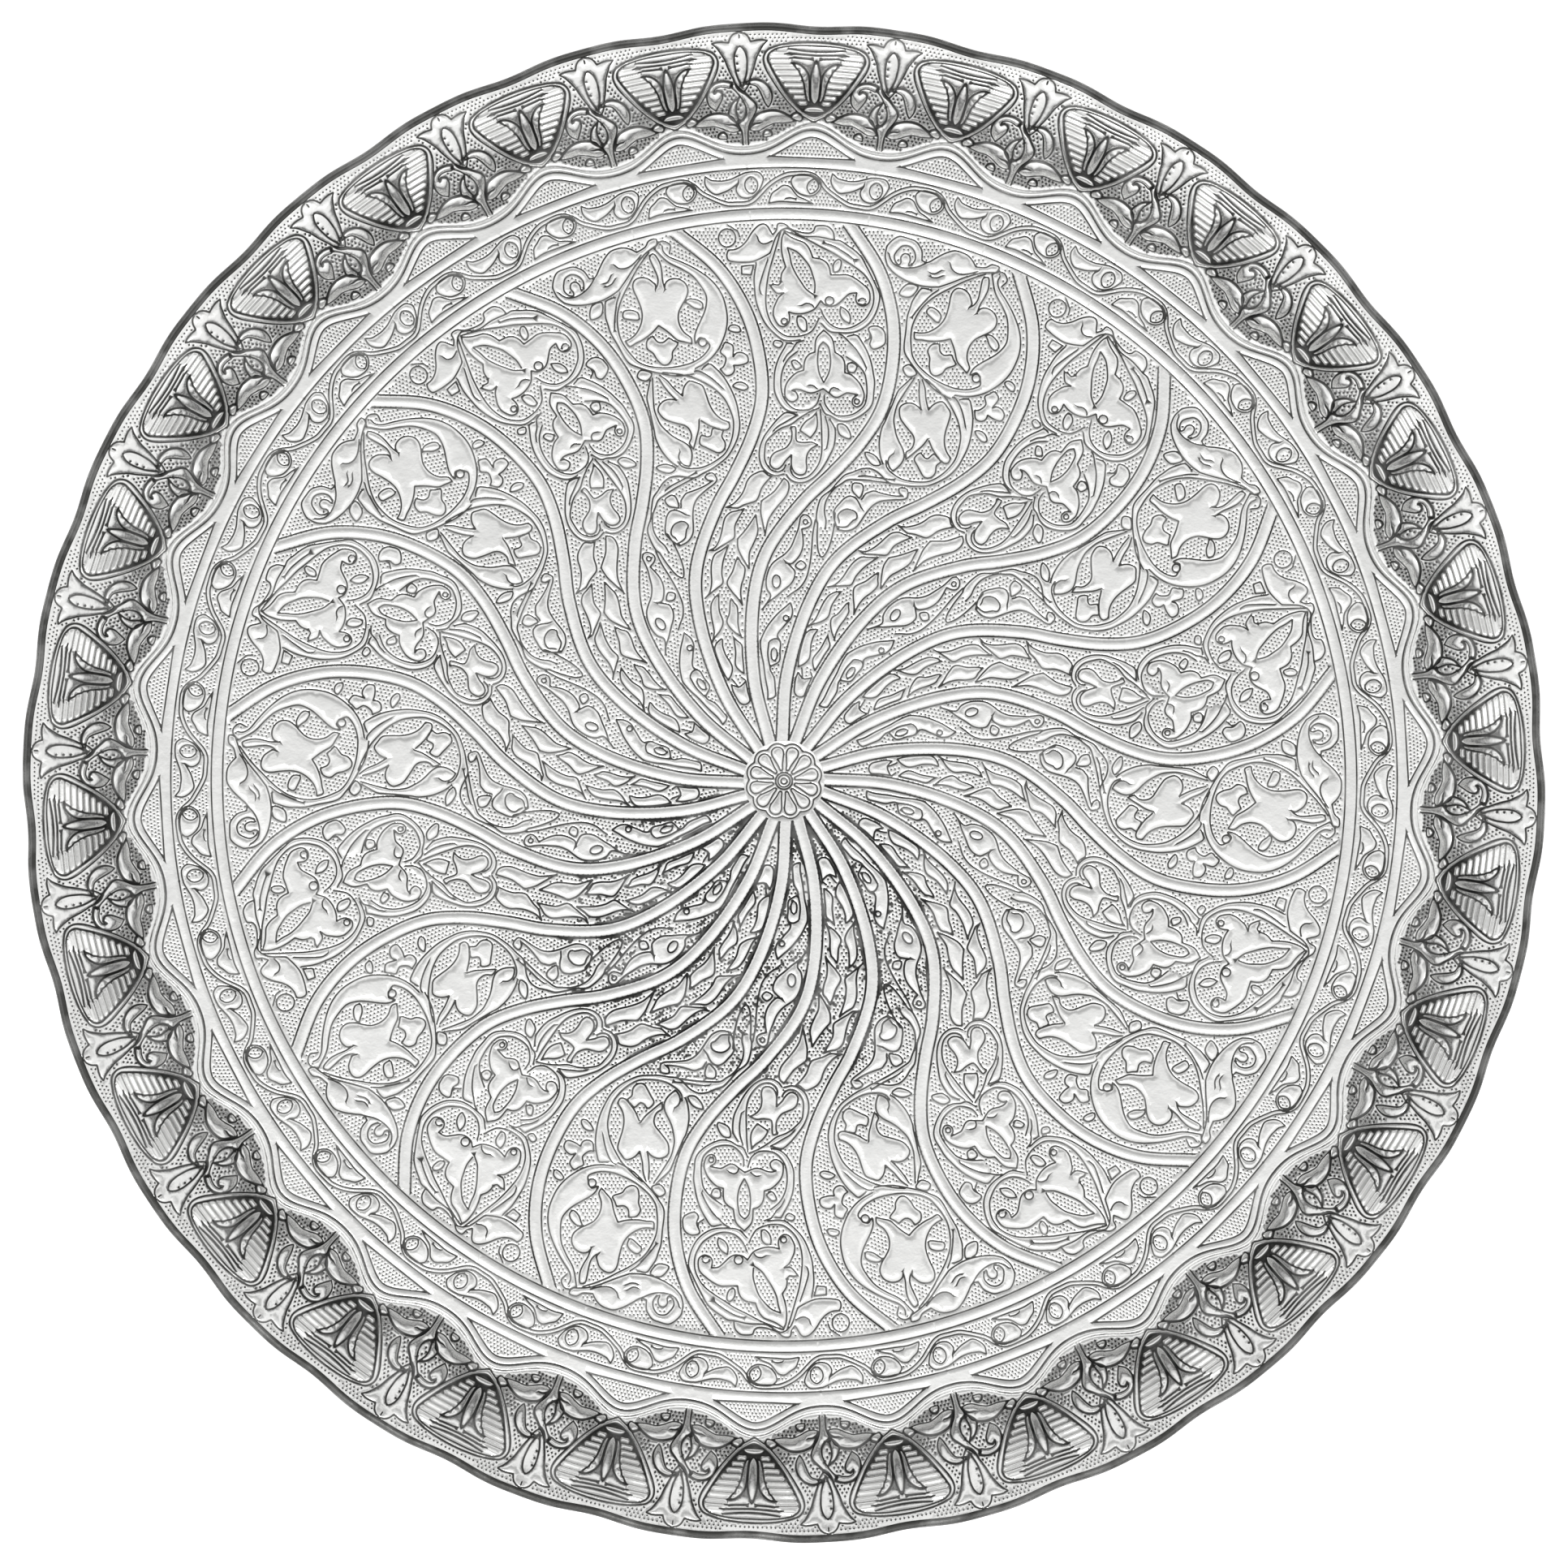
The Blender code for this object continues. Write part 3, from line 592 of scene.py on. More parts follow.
class Relief:
    """Chased work on a flat patch: outlines, inner lines, raised shapes, cords and ribs."""

    STEP = 0.8            # between the mesh's points along a line
    FINE = 0.2            # between the points that distances are measured to

    def __init__(self):
        self.outlines, self.lines, self.shapes, self.cords, self.ribs = [], [], [], [], []
        self.rows = []        # extra rows of points in the mesh
        self.painted_shade = []      # polygons whose ground gets painted shade, and how dark it is

    def shape(self, strokes, height):
        self.shapes.append((np.vstack([spline(s, self.FINE) for s in strokes]), height))
        self.outlines.extend(strokes)

    def vine(self, left, right, height):
        self.shapes.append((np.vstack([spline(left, self.FINE), spline(right, self.FINE)[::-1]]), height))
        self.outlines.extend([left, right])

    def settle(self):
        """Makes the drawing ready to be measured, once everything is on it."""
        self.outline_tree, self.line_tree, self.cord_tree = [
            tree_of([spline(s, self.FINE) for s in drawn])
            for drawn in (self.outlines, self.lines, self.cords)
        ]

    def level(self, points):
        level = np.zeros(len(points))
        for polygon, height in self.shapes:
            level[inside(polygon, points)] = height
        return level

    def height(self, points):
        """Height over the ground, and how dark the metal is in the chased lines and under the painted shade.
        """
        level = self.level(points)
        to_outline = distances(self.outline_tree, points)
        to_line = distances(self.line_tree, points)
        to_cord = distances(self.cord_tree, points)
        swell = np.where(level > HIGH_WORK, SWELL_HIGH, SWELL_LOW)
        domed = level * (smooth(to_outline / SHOULDER) + swell * (1.0 - np.exp(-to_outline / SWELL_REACH)))
        cord = CORD * smooth((CORD_HALF - to_cord) / CORD_SHOULDER) + CORD_CROWN * bulge(to_cord / CORD_HALF)
        groove = bulge(np.minimum(to_outline, to_line) / GROOVE_HALF)
        high = np.maximum(domed, cord) - GROOVE_DEPTH * groove
        ribbed = np.zeros(len(points))
        for x0, x1, y in self.ribs:
            off = np.hypot(np.clip(points[:, 0], x0, x1) - points[:, 0], points[:, 1] - y)
            ribbed = np.maximum(ribbed, np.sqrt(bulge(off / RIB_HALF)))
        high += RIB_HEIGHT * ribbed
        # painted shade on the low ground inside these polygons, away from the ribs
        for polygon, amount in self.painted_shade:
            low = inside(polygon, points) & (level < 2 * PANEL)
            groove = np.where(low, np.maximum(groove, amount(points) * (1.0 - ribbed)), groove)
        return high, groove

    def back(self, points):
        """How far the sheet is pushed up behind these points: the raised shapes only, softened."""
        return self.level(points) * smooth(distances(self.outline_tree, points) / BACK_SHOULDER)

    def mesh(self, rim, punches, fill, seed):
        """Points of the patch inside a closed rim, with heights, darkness and triangles.

        punches: where the punch marks may go, and their pitch, half width and depth.
        fill: the distance between points on plain metal.
        """
        rng = random.Random(seed)
        grid, kept, pits = {}, [], {}
        every = self.outlines + self.lines
        drawn = [spline(s, self.STEP) for s in every]
        drawn_tree = tree_of([spline(s, self.FINE) for s in every])

        def keep(points, gap):
            """Keeps each point that has none kept before it nearer than the gap."""
            for x, y in points:
                i, j = math.floor(x), math.floor(y)
                cells = [(a, b) for a in (i - 1, i, i + 1) for b in (j - 1, j, j + 1)]
                around = [q for cell in cells for q in grid.get(cell, ())]
                if all((qx - x) ** 2 + (qy - y) ** 2 >= gap * gap for qx, qy in around):
                    grid.setdefault((i, j), []).append((x, y))
                    kept.append((x, y))

        def within(points):
            return points[inside(rim, points)]

        def flank(offset, clear, gap):
            """Rows on both sides of every drawn line, where they are clear of the others."""
            for run in drawn:
                for side in (-1, 1):
                    beside = within(aside(run, side * offset))
                    keep(beside[distances(drawn_tree, beside) > clear], gap)

        keep(rim, gap=0.01)
        border = len(kept)
        for row in self.rows:
            keep(within(row), gap=0.3)
        for run in drawn:
            keep(within(run), gap=0.32)
        flank(GROOVE_HALF + 0.02, clear=0.36, gap=0.3)
        for cord in self.cords:
            run = spline(cord, 1.0)
            for share in (0.0, -0.66, 0.66, -0.84, 0.84, -1.04, 1.04, -1.25, 1.25):
                keep(within(aside(run, share * CORD_HALF)), gap=0.3)
        for x0, x1, y in self.ribs:
            xs = np.linspace(x0, x1, max(2, int((x1 - x0) / 0.9) + 1))
            for off in (0, -0.5, 0.5, -0.9, 0.9, 1.2):
                keep(within(np.column_stack([xs, np.full(len(xs), y + off)])), gap=0.35)
        low, high = rim.min(axis=0), rim.max(axis=0)
        for allowed, (pitch, half, depth) in punches:
            spots = []
            for j in range(int((high[1] - low[1]) / (pitch * PUNCH_ROWS)) + 1):
                x = low[0] + (pitch / 2 if j % 2 else 0.0)
                while x < high[0]:
                    spots.append((x + rng.uniform(-PUNCH_STRAY, PUNCH_STRAY),
                                  low[1] + j * pitch * PUNCH_ROWS + rng.uniform(-PUNCH_STRAY, PUNCH_STRAY)))
                    x += pitch
            spots = within(np.array(spots))
            spots = spots[allowed(spots)]
            spots = spots[(distances(drawn_tree, spots) > half + 0.28) & (self.level(spots) <= 0.0)]
            spots = spots[distances(self.cord_tree, spots) > CORD_HALF + half + 0.2]
            spots = spots[distances(tree_of([rim]), spots) > half + 0.3]
            for x, y in spots:
                turn = rng.uniform(-0.2, 0.2)
                before = len(kept)
                keep([(x, y)], gap=0.3)
                if len(kept) > before:
                    pits[before] = depth
                    keep([(x + half * math.cos(turn + k * math.pi / 2),
                           y + half * math.sin(turn + k * math.pi / 2)) for k in range(4)], gap=0.2)
        flank(1.0, clear=0.8, gap=0.6)
        xs, ys = np.meshgrid(np.arange(low[0], high[0], fill), np.arange(low[1], high[1], fill))
        keep(within(np.column_stack([xs.ravel(), ys.ravel()])), gap=fill * 0.62)
        made = delaunay_2d_cdt([Vector(p) for p in kept], [], [list(range(border))], 1, 1e-5)
        verts, _, faces, sources = made[:4]
        points = np.array([(v.x, v.y) for v in verts])
        high, dark = self.height(points)
        for i, origin in enumerate(sources):
            depth = max((pits.get(o, 0.0) for o in origin), default=0.0)
            if depth:
                high[i] -= depth
                dark[i] = 1.0
        return points, high, dark, [tuple(f) for f in faces]


def add_mesh(name, verts, faces, dark, material):
    mesh = bpy.data.meshes.new(name)
    mesh.from_pydata([tuple(v) for v in verts], [], faces)
    layer = mesh.attributes.new("tarnish_and_painted_shade", "FLOAT", "POINT")
    layer.data.foreach_set("value", np.asarray(dark, np.float32))
    mesh.shade_smooth()
    mesh.validate()
    mesh.materials.append(material)
    obj = bpy.data.objects.new(name, mesh)
    bpy.context.scene.collection.objects.link(obj)
    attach(obj, "root")
    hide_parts("tray_sheet")
    return obj


# ------------------------------------------------------------------ materials


class Wiring:
    """Adds nodes to a material or a world. A socket takes a value or another node's output."""

    def __init__(self, owner):
        owner.use_nodes = True
        self.tree = owner.node_tree

    def fill(self, node, sockets):
        for name, value in sockets.items():
            if isinstance(value, bpy.types.NodeSocket):
                self.tree.links.new(value, node.inputs[name])
            else:
                node.inputs[name].default_value = value
        return node

    def add(self, kind, sockets, **settings):
        node = self.tree.nodes.new("ShaderNode" + kind)
        for name, value in settings.items():
            setattr(node, name, value)
        return self.fill(node, sockets)

    def noise(self, scale, detail=2.0):
        place = self.add("TexCoord", {}).outputs["Object"]
        return self.add("TexNoise", {"Vector": place, "Scale": scale, "Detail": detail}).outputs["Fac"]

    def mapped(self, value, low, high, to_low, to_high, interpolation="LINEAR"):
        ends = {"Value": value, "From Min": low, "From Max": high, "To Min": to_low, "To Max": to_high}
        return self.add("MapRange", ends, interpolation_type=interpolation).outputs["Result"]

    def maths(self, operation, a, b):
        return self.add("Math", {0: a, 1: b}, operation=operation).outputs[0]

    def mixed(self, factor, a, b):
        return self.add("Mix", {"Factor": factor, "A": a, "B": b}, data_type="RGBA").outputs["Result"]

    def bump(self, height, strength, distance, **over):
        sockets = {"Height": height, "Strength": strength, "Distance": distance}
        return self.add("Bump", sockets | over).outputs["Normal"]


def silver():
    """Bright plate, cloudy, finely scratched and slightly dented, and blackened where its darkness attribute
    is high: real oxide in the chased lines and punch marks, plus painted shade and a painted reflection.
    """
    mat = bpy.data.materials.new("silver_plate_visual")
    metal = Wiring(mat)
    dark = metal.add("Attribute", {}, attribute_name="tarnish_and_painted_shade").outputs["Fac"]
    scratches = metal.noise(900.0, 5.0)
    clouds = metal.mapped(metal.noise(38.0, 6.0), 0.35, 0.7, 0.0, 1.0)
    plain = metal.mixed(clouds, (0.92, 0.92, 0.91, 1.0), (0.83, 0.83, 0.82, 1.0))
    # near black past 1.1: the painted reflection below the centre and the darker marks on the wall
    thick = metal.mapped(dark, 1.1, 2.4, 0.0, 1.0)
    black = metal.mixed(thick, (0.045, 0.045, 0.042, 1.0), (0.004, 0.004, 0.004, 1.0))
    wear = metal.mapped(metal.noise(75.0, 4.0), 0.38, 0.56, 0.84, 1.0)
    shade = metal.maths("MULTIPLY", metal.mapped(dark, 0.06, 0.42, 0.0, 0.97), wear)
    polish = metal.mapped(scratches, 0.3, 0.7, 0.15, 0.24)
    dents = metal.bump(metal.noise(260.0, 3.0), 0.35, 0.0004)
    metal.fill(mat.node_tree.nodes["Principled BSDF"], {
        "Metallic": 1.0,
        "Base Color": metal.mixed(shade, plain, black),
        "Roughness": metal.maths("ADD", polish, metal.mapped(dark, 0.0, 1.0, 0.0, 0.25)),
        "Normal": metal.bump(scratches, 0.2, 0.0002, Normal=dents),
    })
    return mat


def wire_metal():
    mat = bpy.data.materials.new("iron_wire_visual")
    metal = Wiring(mat)
    grain = metal.noise(600.0)
    metal.fill(mat.node_tree.nodes["Principled BSDF"], {
        "Metallic": 1.0,
        "Base Color": metal.mixed(grain, (0.30, 0.29, 0.28, 1.0), (0.50, 0.49, 0.48, 1.0)),
        "Roughness": metal.mapped(grain, 0.0, 1.0, 0.35, 0.6),
        "Normal": metal.bump(grain, 0.2, 0.0001),
    })
    return mat


SILVER = silver()
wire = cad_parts["rim_wire"]
for slot in wire.material_slots:
    slot.material = wire_metal()

# ------------------------------------------------------------------ the swirling field


def field():
    """One sector's mesh, and how far each of its points is from the nearest cord's side."""
    relief = Relief()
    for outline in LEAVES:
        relief.shape(joined(outline), LEAF)
    for left, right in VINES:
        relief.vine(left, right, VINE)
    for outline in OPENINGS:
        relief.shape(joined(outline), 0.0)
    relief.lines.extend(LINES)
    for size in RINGS:
        relief.lines.append(ring(*size, 8))
    cord = [(r * math.cos(math.radians(a)), r * math.sin(math.radians(a))) for r, a in CORD_LINE]
    middle = spline(cord, 1.0)
    right_edge = aside(middle, -(CORD_HALF + CORD_EDGE))
    left_edge = aside(middle, CORD_HALF + CORD_EDGE)
    for turn in (SECTOR / 2, 0, -SECTOR / 2):
        relief.cords.append(turned(middle[::4], turn))
        relief.outlines.append(turned(right_edge[::2], turn))
        relief.outlines.append(turned(left_edge[::2], turn))
    relief.settle()

    def arc(radius, start, end, steps):
        angles = np.radians(np.linspace(start, end, steps))
        return np.column_stack([radius * np.cos(angles), radius * np.sin(angles)])

    def bearing(point):
        return math.degrees(math.atan2(point[1], point[0]))

    from_middle = np.hypot(right_edge[:, 0], right_edge[:, 1])
    side = right_edge[(from_middle > ROSETTE_RADIUS + 0.3) & (from_middle < FIELD_RADIUS - 0.3)]
    first, last = turned(side, SECTOR / 2), turned(side, -SECTOR / 2)
    top_left = bearing(first[-1]) + 0.1
    low_left = bearing(first[0])
    top = arc(FIELD_RADIUS, top_left, top_left - SECTOR, 100)
    bottom = arc(ROSETTE_RADIUS, low_left - SECTOR, low_left, 12)
    rim = np.vstack([first, top, last[::-1], bottom])

    def punched(points):
        r = np.hypot(points[:, 0], points[:, 1])
        return (r > ROSETTE_RADIUS + 3.0) & (r < FIELD_RADIUS - 0.8)

    made = relief.mesh(rim, [(punched, PUNCH_FINE)], fill=2.0, seed=7)
    return made + (distances(relief.cord_tree, made[0]) - CORD_HALF,)


def darkness_with_painted_reflection(ground, high, dark, off_cord):
    """The chased lines' darkness, with a painted dark reflection laid over it, thickest just below the
    centre.
    """
    x, y = ground[:, 0], ground[:, 1]
    near = smooth((REFLECTION_REACH - np.hypot((x - REFLECTION_X) / REFLECTION_WIDE, y - REFLECTION_Y)) / REFLECTION_FADE)
    low = 1.0 - smooth((high + 0.05) / 0.12)
    along_cord = smooth((1.3 - off_cord) / 0.4) * smooth((off_cord + 0.1) / 0.2)
    reflection_streaks = np.sin(0.31 * x + 1.7 * np.sin(0.13 * y)) + np.sin(0.23 * y + 1.9 * np.sin(0.17 * x))
    ripple = np.sin(0.9 * x + 2.0 * np.sin(0.5 * y)) * np.sin(1.1 * y + 1.5 * np.sin(0.7 * x))
    blots = smooth((ripple - 0.62) / 0.1)
    # the painted reflection also darkens the low ground along the cords and in blots
    cover = low * np.maximum(along_cord * smooth(0.6 + reflection_streaks), 0.5 * blots)
    return dark * (1.0 + 4.0 * near) + 2.0 * smooth((near - 0.45) / 0.2) * cover


points, high, dark, faces, off_cord = field()
for k in range(SECTORS):
    ground = turned(points, -SECTOR * k)
    verts = np.column_stack([ground * MM, (SHEET + high) * MM])
    add_mesh(f"field_sector_{k + 1}", verts, faces, darkness_with_painted_reflection(ground, high, dark, off_cord), SILVER)

# ------------------------------------------------------------------ rosette


def rosette():
    relief = Relief()
    petal = PETAL + [(x, -y) for x, y in PETAL[-2::-1]] + PETAL[:1]
    for k in range(12):
        turn = 13 + 30 * k
        relief.shape([turned(np.array(petal), turn)], LEAF)
        relief.lines.append(turned(np.array(PETAL_ARCH), turn))
    for radius in (1.2, 2.4, 3.3):
        relief.lines.append(ring(0, 0, radius, radius, 12))
    relief.settle()
    angles = np.radians(np.arange(0, 360, 3.0))
    rim = ROSETTE_RADIUS * np.column_stack([np.cos(angles), np.sin(angles)])
    return relief.mesh(rim, [], fill=1.4, seed=3)


points, high, dark, faces = rosette()
add_mesh("rosette", np.column_stack([points * MM, (SHEET + high) * MM]), faces, dark, SILVER)

# ------------------------------------------------------------------ frieze, ledge, bead and wall

ROLL_R, ROLL_Z = RIM_RADIUS - ROLL_RADIUS, HEIGHT - RIM_LIFT - ROLL_RADIUS
WALL_END_R = ROLL_R + ROLL_RADIUS * math.cos(ROLL_START)
WALL_END_Z = ROLL_Z + ROLL_RADIUS * math.sin(ROLL_START)


def swing(angle):
    """1 at a shield, -1 at a lily. Degrees from a shield's middle."""
    return np.cos(np.radians(angle) * LOBES)


def double_swing(angle):
    return np.cos(np.radians(angle) * 2 * LOBES)


def crest_radius(angle):
    return FOOT_RADIUS + FOOT_WAVE * swing(angle) + FOOT_POINT * double_swing(angle)


def rim_shift(angle):
    return -RIM_WAVE * swing(angle) - RIM_CUSP * double_swing(angle)


def wall_rise(share):
    return 0.55 * share + 0.45 * (1.0 - (1.0 - share) ** 2)


def section(angle, radius):
    """Height of the plain sheet's top side at a bearing and a radius."""
    crest = crest_radius(angle)
    from_crest = radius - crest
    bead = SHEET + BEAD_HEIGHT * smooth(1.0 + from_crest / BEAD_SLOPE)
    start = crest + WALL_START
    end = WALL_END_R + rim_shift(angle)
    share = np.clip((radius - start) / (end - start), 0.0, 1.0)
    lift = WALL_END_Z - RIM_LIFT * swing(angle) * smooth(share)
    wall = SHEET + WALL_FOOT + (lift - SHEET - WALL_FOOT) * wall_rise(share)
    fall = SHEET + WALL_FOOT + (BEAD_HEIGHT - WALL_FOOT) * (1.0 - smooth(from_crest / WALL_START))
    return np.where(from_crest <= 0, bead, np.where(radius <= start, fall, wall))


def tilt(angle, radius, reach):
    """Slope of the section, and the upright share of the line square to it."""
    slope = (section(angle, radius + reach) - section(angle, radius - reach)) / (2 * reach)
    return slope, 1.0 / np.sqrt(1.0 + slope * slope)


def mirror(strokes):
    return [[(-a, r) for a, r in s] for s in strokes]


def flat(stroke):
    return [(a * LOBE_WIDE, r) for a, r in stroke]


def both_halves(half):
    """A closed outline from its right-hand half."""
    return half + [(-a, r) for a, r in half[-2::-1]]


def lobe():
    """A lobe's mesh, and the drawing that it was made from."""
    relief = Relief()

    def shifted(strokes, degrees):
        return [flat([(a + degrees, r) for a, r in s]) for s in strokes]

    def raise_all(strokes, height):
        """Raises a shape on this lobe and on both its neighbours."""
        for d in NEIGHBOURS:
            relief.shape(shifted(strokes, d), height)

    def rule_all(*strokes):
        for stroke in strokes:
            for d in NEIGHBOURS:
                relief.lines.extend(shifted([stroke], d))

    for d in NEIGHBOURS:
        upper = spline([(x + d * LOBE_WIDE, r) for x, r in flat(FRIEZE_VINE)], 0.8)
        relief.vine(upper, aside(upper, -FRIEZE_VINE_WIDE), LEAF * 0.8)
    for outline in FRIEZE_LEAVES:
        raise_all(joined(outline), LEAF)
    for outline in FRIEZE_OPENINGS:
        raise_all(joined(outline), 0.0)
    rule_all(FRIEZE_FOLD)
    for radius in FRIEZE_RULES:
        relief.lines.append([(a * LOBE_WIDE, radius) for a in range(-19, 20, 2)])
    crest = np.linspace(-6, 6, 49)
    for d in NEIGHBOURS:
        relief.lines.append(np.column_stack([(crest + d) * LOBE_WIDE, crest_radius(crest) - 1.7]))
    rule_all(*TRIANGLE)

    raise_all([both_halves(SHIELD)], 0.5)
    raise_all([both_halves(SHIELD_INNER)], PANEL)
    raise_all([LOTUS_FOOT], 0.5)
    for strokes in (LOTUS_SIDE, mirror(LOTUS_SIDE)):
        raise_all(strokes, 0.44)
    raise_all([both_halves(LOTUS_MIDDLE)], 0.47)
    for arc in SHIELD_ARCS:
        rule_all(arc, *mirror([arc]))
    # painted shade on the shield panel's ground between the ribs, darkest at its foot
    for d in NEIGHBOURS:
        panel = np.array([(x + d * LOBE_WIDE, r) for x, r in flat(both_halves(SHIELD_INNER))])
        relief.painted_shade.append((panel, lambda p: 0.22 * (1.0 - smooth((p[:, 1] - 268.0) / 18.0))))
    for radius, near, far in RIBS:
        for side in (-1, 1):
            ends = sorted((side * near * LOBE_WIDE, side * (far - 0.12) * LOBE_WIDE))
            relief.ribs.append((*ends, radius))

    head = LILY_HEAD + [[(-a, r) for a, r in s[::-1]] for s in LILY_HEAD[::-1]]
    lily = [(head, 0.45), (STRAND_LEFT, 0.5), (STRAND_RIGHT, 0.65), ([both_halves(LILY_SLIT)], 0.0),
            (LILY_CURL_LEFT, LILY), (LILY_CURL_RIGHT, LILY)]
    for part in (WING_LEFT, [TIP_LEAF], [BUD]):
        lily += [(part, LILY), (mirror(part), LILY)]
    for middle in (-LOBE / 2, LOBE / 2):
        for strokes, height in lily:
            relief.shape(shifted(strokes, middle), height)
        relief.lines.extend(shifted([WING_FOLD] + mirror([WING_FOLD]) + [LILY_NICK], middle))
    relief.settle()

    half = LOBE / 2 * LOBE_WIDE
    side_r = np.arange(FIELD_RADIUS, WALL_END_R, 0.45)
    along = np.linspace(-6, 6, 25)
    right = np.column_stack([np.full(len(side_r), half), side_r])
    left = right * (-1, 1)
    top = np.column_stack([along * LOBE_WIDE, WALL_END_R + rim_shift(along)])
    bottom = np.column_stack([along * LOBE_WIDE, np.full(len(along), FIELD_RADIUS)])
    rim = np.vstack([left, top, right[::-1], bottom[::-1][1:-1]])
    fine_along = np.linspace(-6, 6, 73)[1:-1]
    crest_r = crest_radius(fine_along)
    relief.rows = [np.column_stack([fine_along * LOBE_WIDE, crest_r + off])
                   for off in (-2.7, -0.8, -0.35, 0.0, 0.45, 1.0, WALL_START)]

    def in_well(points):
        a, r = points[:, 0] / LOBE_WIDE, points[:, 1]
        in_frieze = (r > 228.2) & (r < 241.9)
        in_triangle = (r > 247.6) & (r < 254.2 - 1.75 * np.abs(a))
        return in_frieze | in_triangle

    def on_wall(points):
        a, r = points[:, 0] / LOBE_WIDE, points[:, 1]
        shield = inside(np.array(flat(both_halves(SHIELD))), points)
        above_bead = r > crest_radius(a) + WALL_START + 0.7
        return above_bead & (r < WALL_END_R + rim_shift(a) - 1.2) & ~shield & (r < SHIELD_TOP)

    def by_rim(points):
        a, r = points[:, 0] / LOBE_WIDE, points[:, 1]
        return (r >= SHIELD_TOP) & (r < WALL_END_R + rim_shift(a) - 0.9)

    punches = [(in_well, PUNCH_FINE), (on_wall, PUNCH_COARSE), (by_rim, PUNCH_FINE)]
    return relief.mesh(rim, punches, fill=1.9, seed=11) + (relief,)


points, high, dark, faces, wall_relief = lobe()
angle, radius = points[:, 0] / LOBE_WIDE, points[:, 1]
slope, upright = tilt(angle, radius, 0.05)
out_r = radius - slope * upright * high
out_z = section(angle, radius) + upright * high
on_edge = np.abs(np.abs(angle) - LOBE / 2) < 1e-4
# the chased lines and punch marks are darker on the wall than in the well, except near the rim
up_wall = smooth((radius - crest_radius(angle)) / 3.0)
near_rim = smooth((radius - 282.0) / 14.0)
blackness = 1.0 + 1.3 * up_wall * (1.0 - near_rim)
for k in range(SECTORS):
    verts, tris, shades, seen = [], [], [], {}
    for j in range(LOBES // SECTORS):
        turn = np.radians(SHIELD_ANGLE + LOBE * (LOBES // SECTORS * k + j) - angle)
        xyz = np.column_stack([out_r * np.cos(turn), out_r * np.sin(turn), out_z]) * MM
        index = []
        for i, v in enumerate(xyz):
            # lobes share their points where they meet
            key = (round(v[0] * 1e5), round(v[1] * 1e5)) if on_edge[i] else None
            if key is not None and key in seen:
                index.append(seen[key])
                continue
            if key is not None:
                seen[key] = len(verts)
            index.append(len(verts))
            verts.append(v)
            shades.append(dark[i] * blackness[i])
        tris.extend(tuple(index[n] for n in f[::-1]) for f in faces)
    add_mesh(f"wall_sector_{k + 1}", verts, tris, shades, SILVER)

# ------------------------------------------------------------------ underside and rolled edge

STEPS = 32                # round each lobe
ROLL_POINTS = 25          # across the rolled edge, outside and inside
UNDER_R = np.concatenate([[0.5, 60, 120, 180, 230], np.arange(244, 297, 1.2)])
BACK_HEIGHTS = {}


def revolve(name, rows, dark, closed=False):
    """A surface of rings; rows(bearing) gives one section as (radius, height) arrays."""
    steps = LOBES * STEPS
    count = len(dark)
    verts = []
    for i in range(steps):
        turn = 360.0 * i / steps
        r, z = rows(turn)
        bearing = math.radians(SHIELD_ANGLE + turn)
        verts.extend(zip(r * math.cos(bearing) * MM, r * math.sin(bearing) * MM, z * MM))
    faces = []
    for i in range(steps):
        j = (i + 1) % steps
        for n in range(count - (0 if closed else 1)):
            m = (n + 1) % count
            quad = (i * count + n, j * count + n, j * count + m, i * count + m)
            # a closed section is listed the other way round
            faces.append(quad[::-1] if closed else quad)
    return add_mesh(name, verts, faces, np.tile(dark, steps), SILVER)


def back_heights(turn):
    """The pattern seen from behind along one bearing, worked out once for each step of a lobe."""
    angle = (LOBE / 2 - turn) % LOBE - LOBE / 2
    key = round(angle / LOBE * STEPS)
    if key not in BACK_HEIGHTS:
        line = np.column_stack([np.full(len(UNDER_R), angle * LOBE_WIDE), UNDER_R])
        BACK_HEIGHTS[key] = np.where(UNDER_R > FOOT_RADIUS + FOOT_WAVE, wall_relief.back(line), 0.0)
    return BACK_HEIGHTS[key]


def underside(turn):
    r = np.minimum(UNDER_R, WALL_END_R + rim_shift(turn) - 0.3)
    slope, upright = tilt(turn, r, 0.3)
    drop = SHEET - 0.9 * back_heights(turn)
    return r + slope * upright * drop, np.maximum(section(turn, r) - upright * drop, 0.0)


def rolled_edge(turn):
    outer = ROLL_START - ROLL_TURN * np.linspace(0, 1, ROLL_POINTS)
    inner = outer[::-1]
    lining = ROLL_RADIUS - SHEET
    r = np.concatenate([ROLL_RADIUS * np.cos(outer), lining * np.cos(inner)])
    z = np.concatenate([ROLL_RADIUS * np.sin(outer), lining * np.sin(inner)])
    return ROLL_R + rim_shift(turn) + r, ROLL_Z - RIM_LIFT * swing(turn) + z


# painted shade on the roll: dark where it meets the wall, bright on top and dark again on its outer side
ROLL_PAINTED_SHADE = np.interp(np.linspace(0, 1, ROLL_POINTS), (0, 0.06, 0.14, 0.25, 0.38, 1),
                      (0.9, 0.7, 0.40, 0.36, 0.85, 0.8))
# the underside is evenly darkened: a duller old back, and painted shade under the tray
revolve("underside", underside, np.full(len(UNDER_R), 0.24))
revolve("rolled_edge", rolled_edge, np.concatenate([ROLL_PAINTED_SHADE, np.full(ROLL_POINTS, 0.5)]), closed=True)

# ------------------------------------------------------------------ room, lights and camera

world = bpy.data.worlds.new("room")
bpy.context.scene.world = world
sky = Wiring(world)

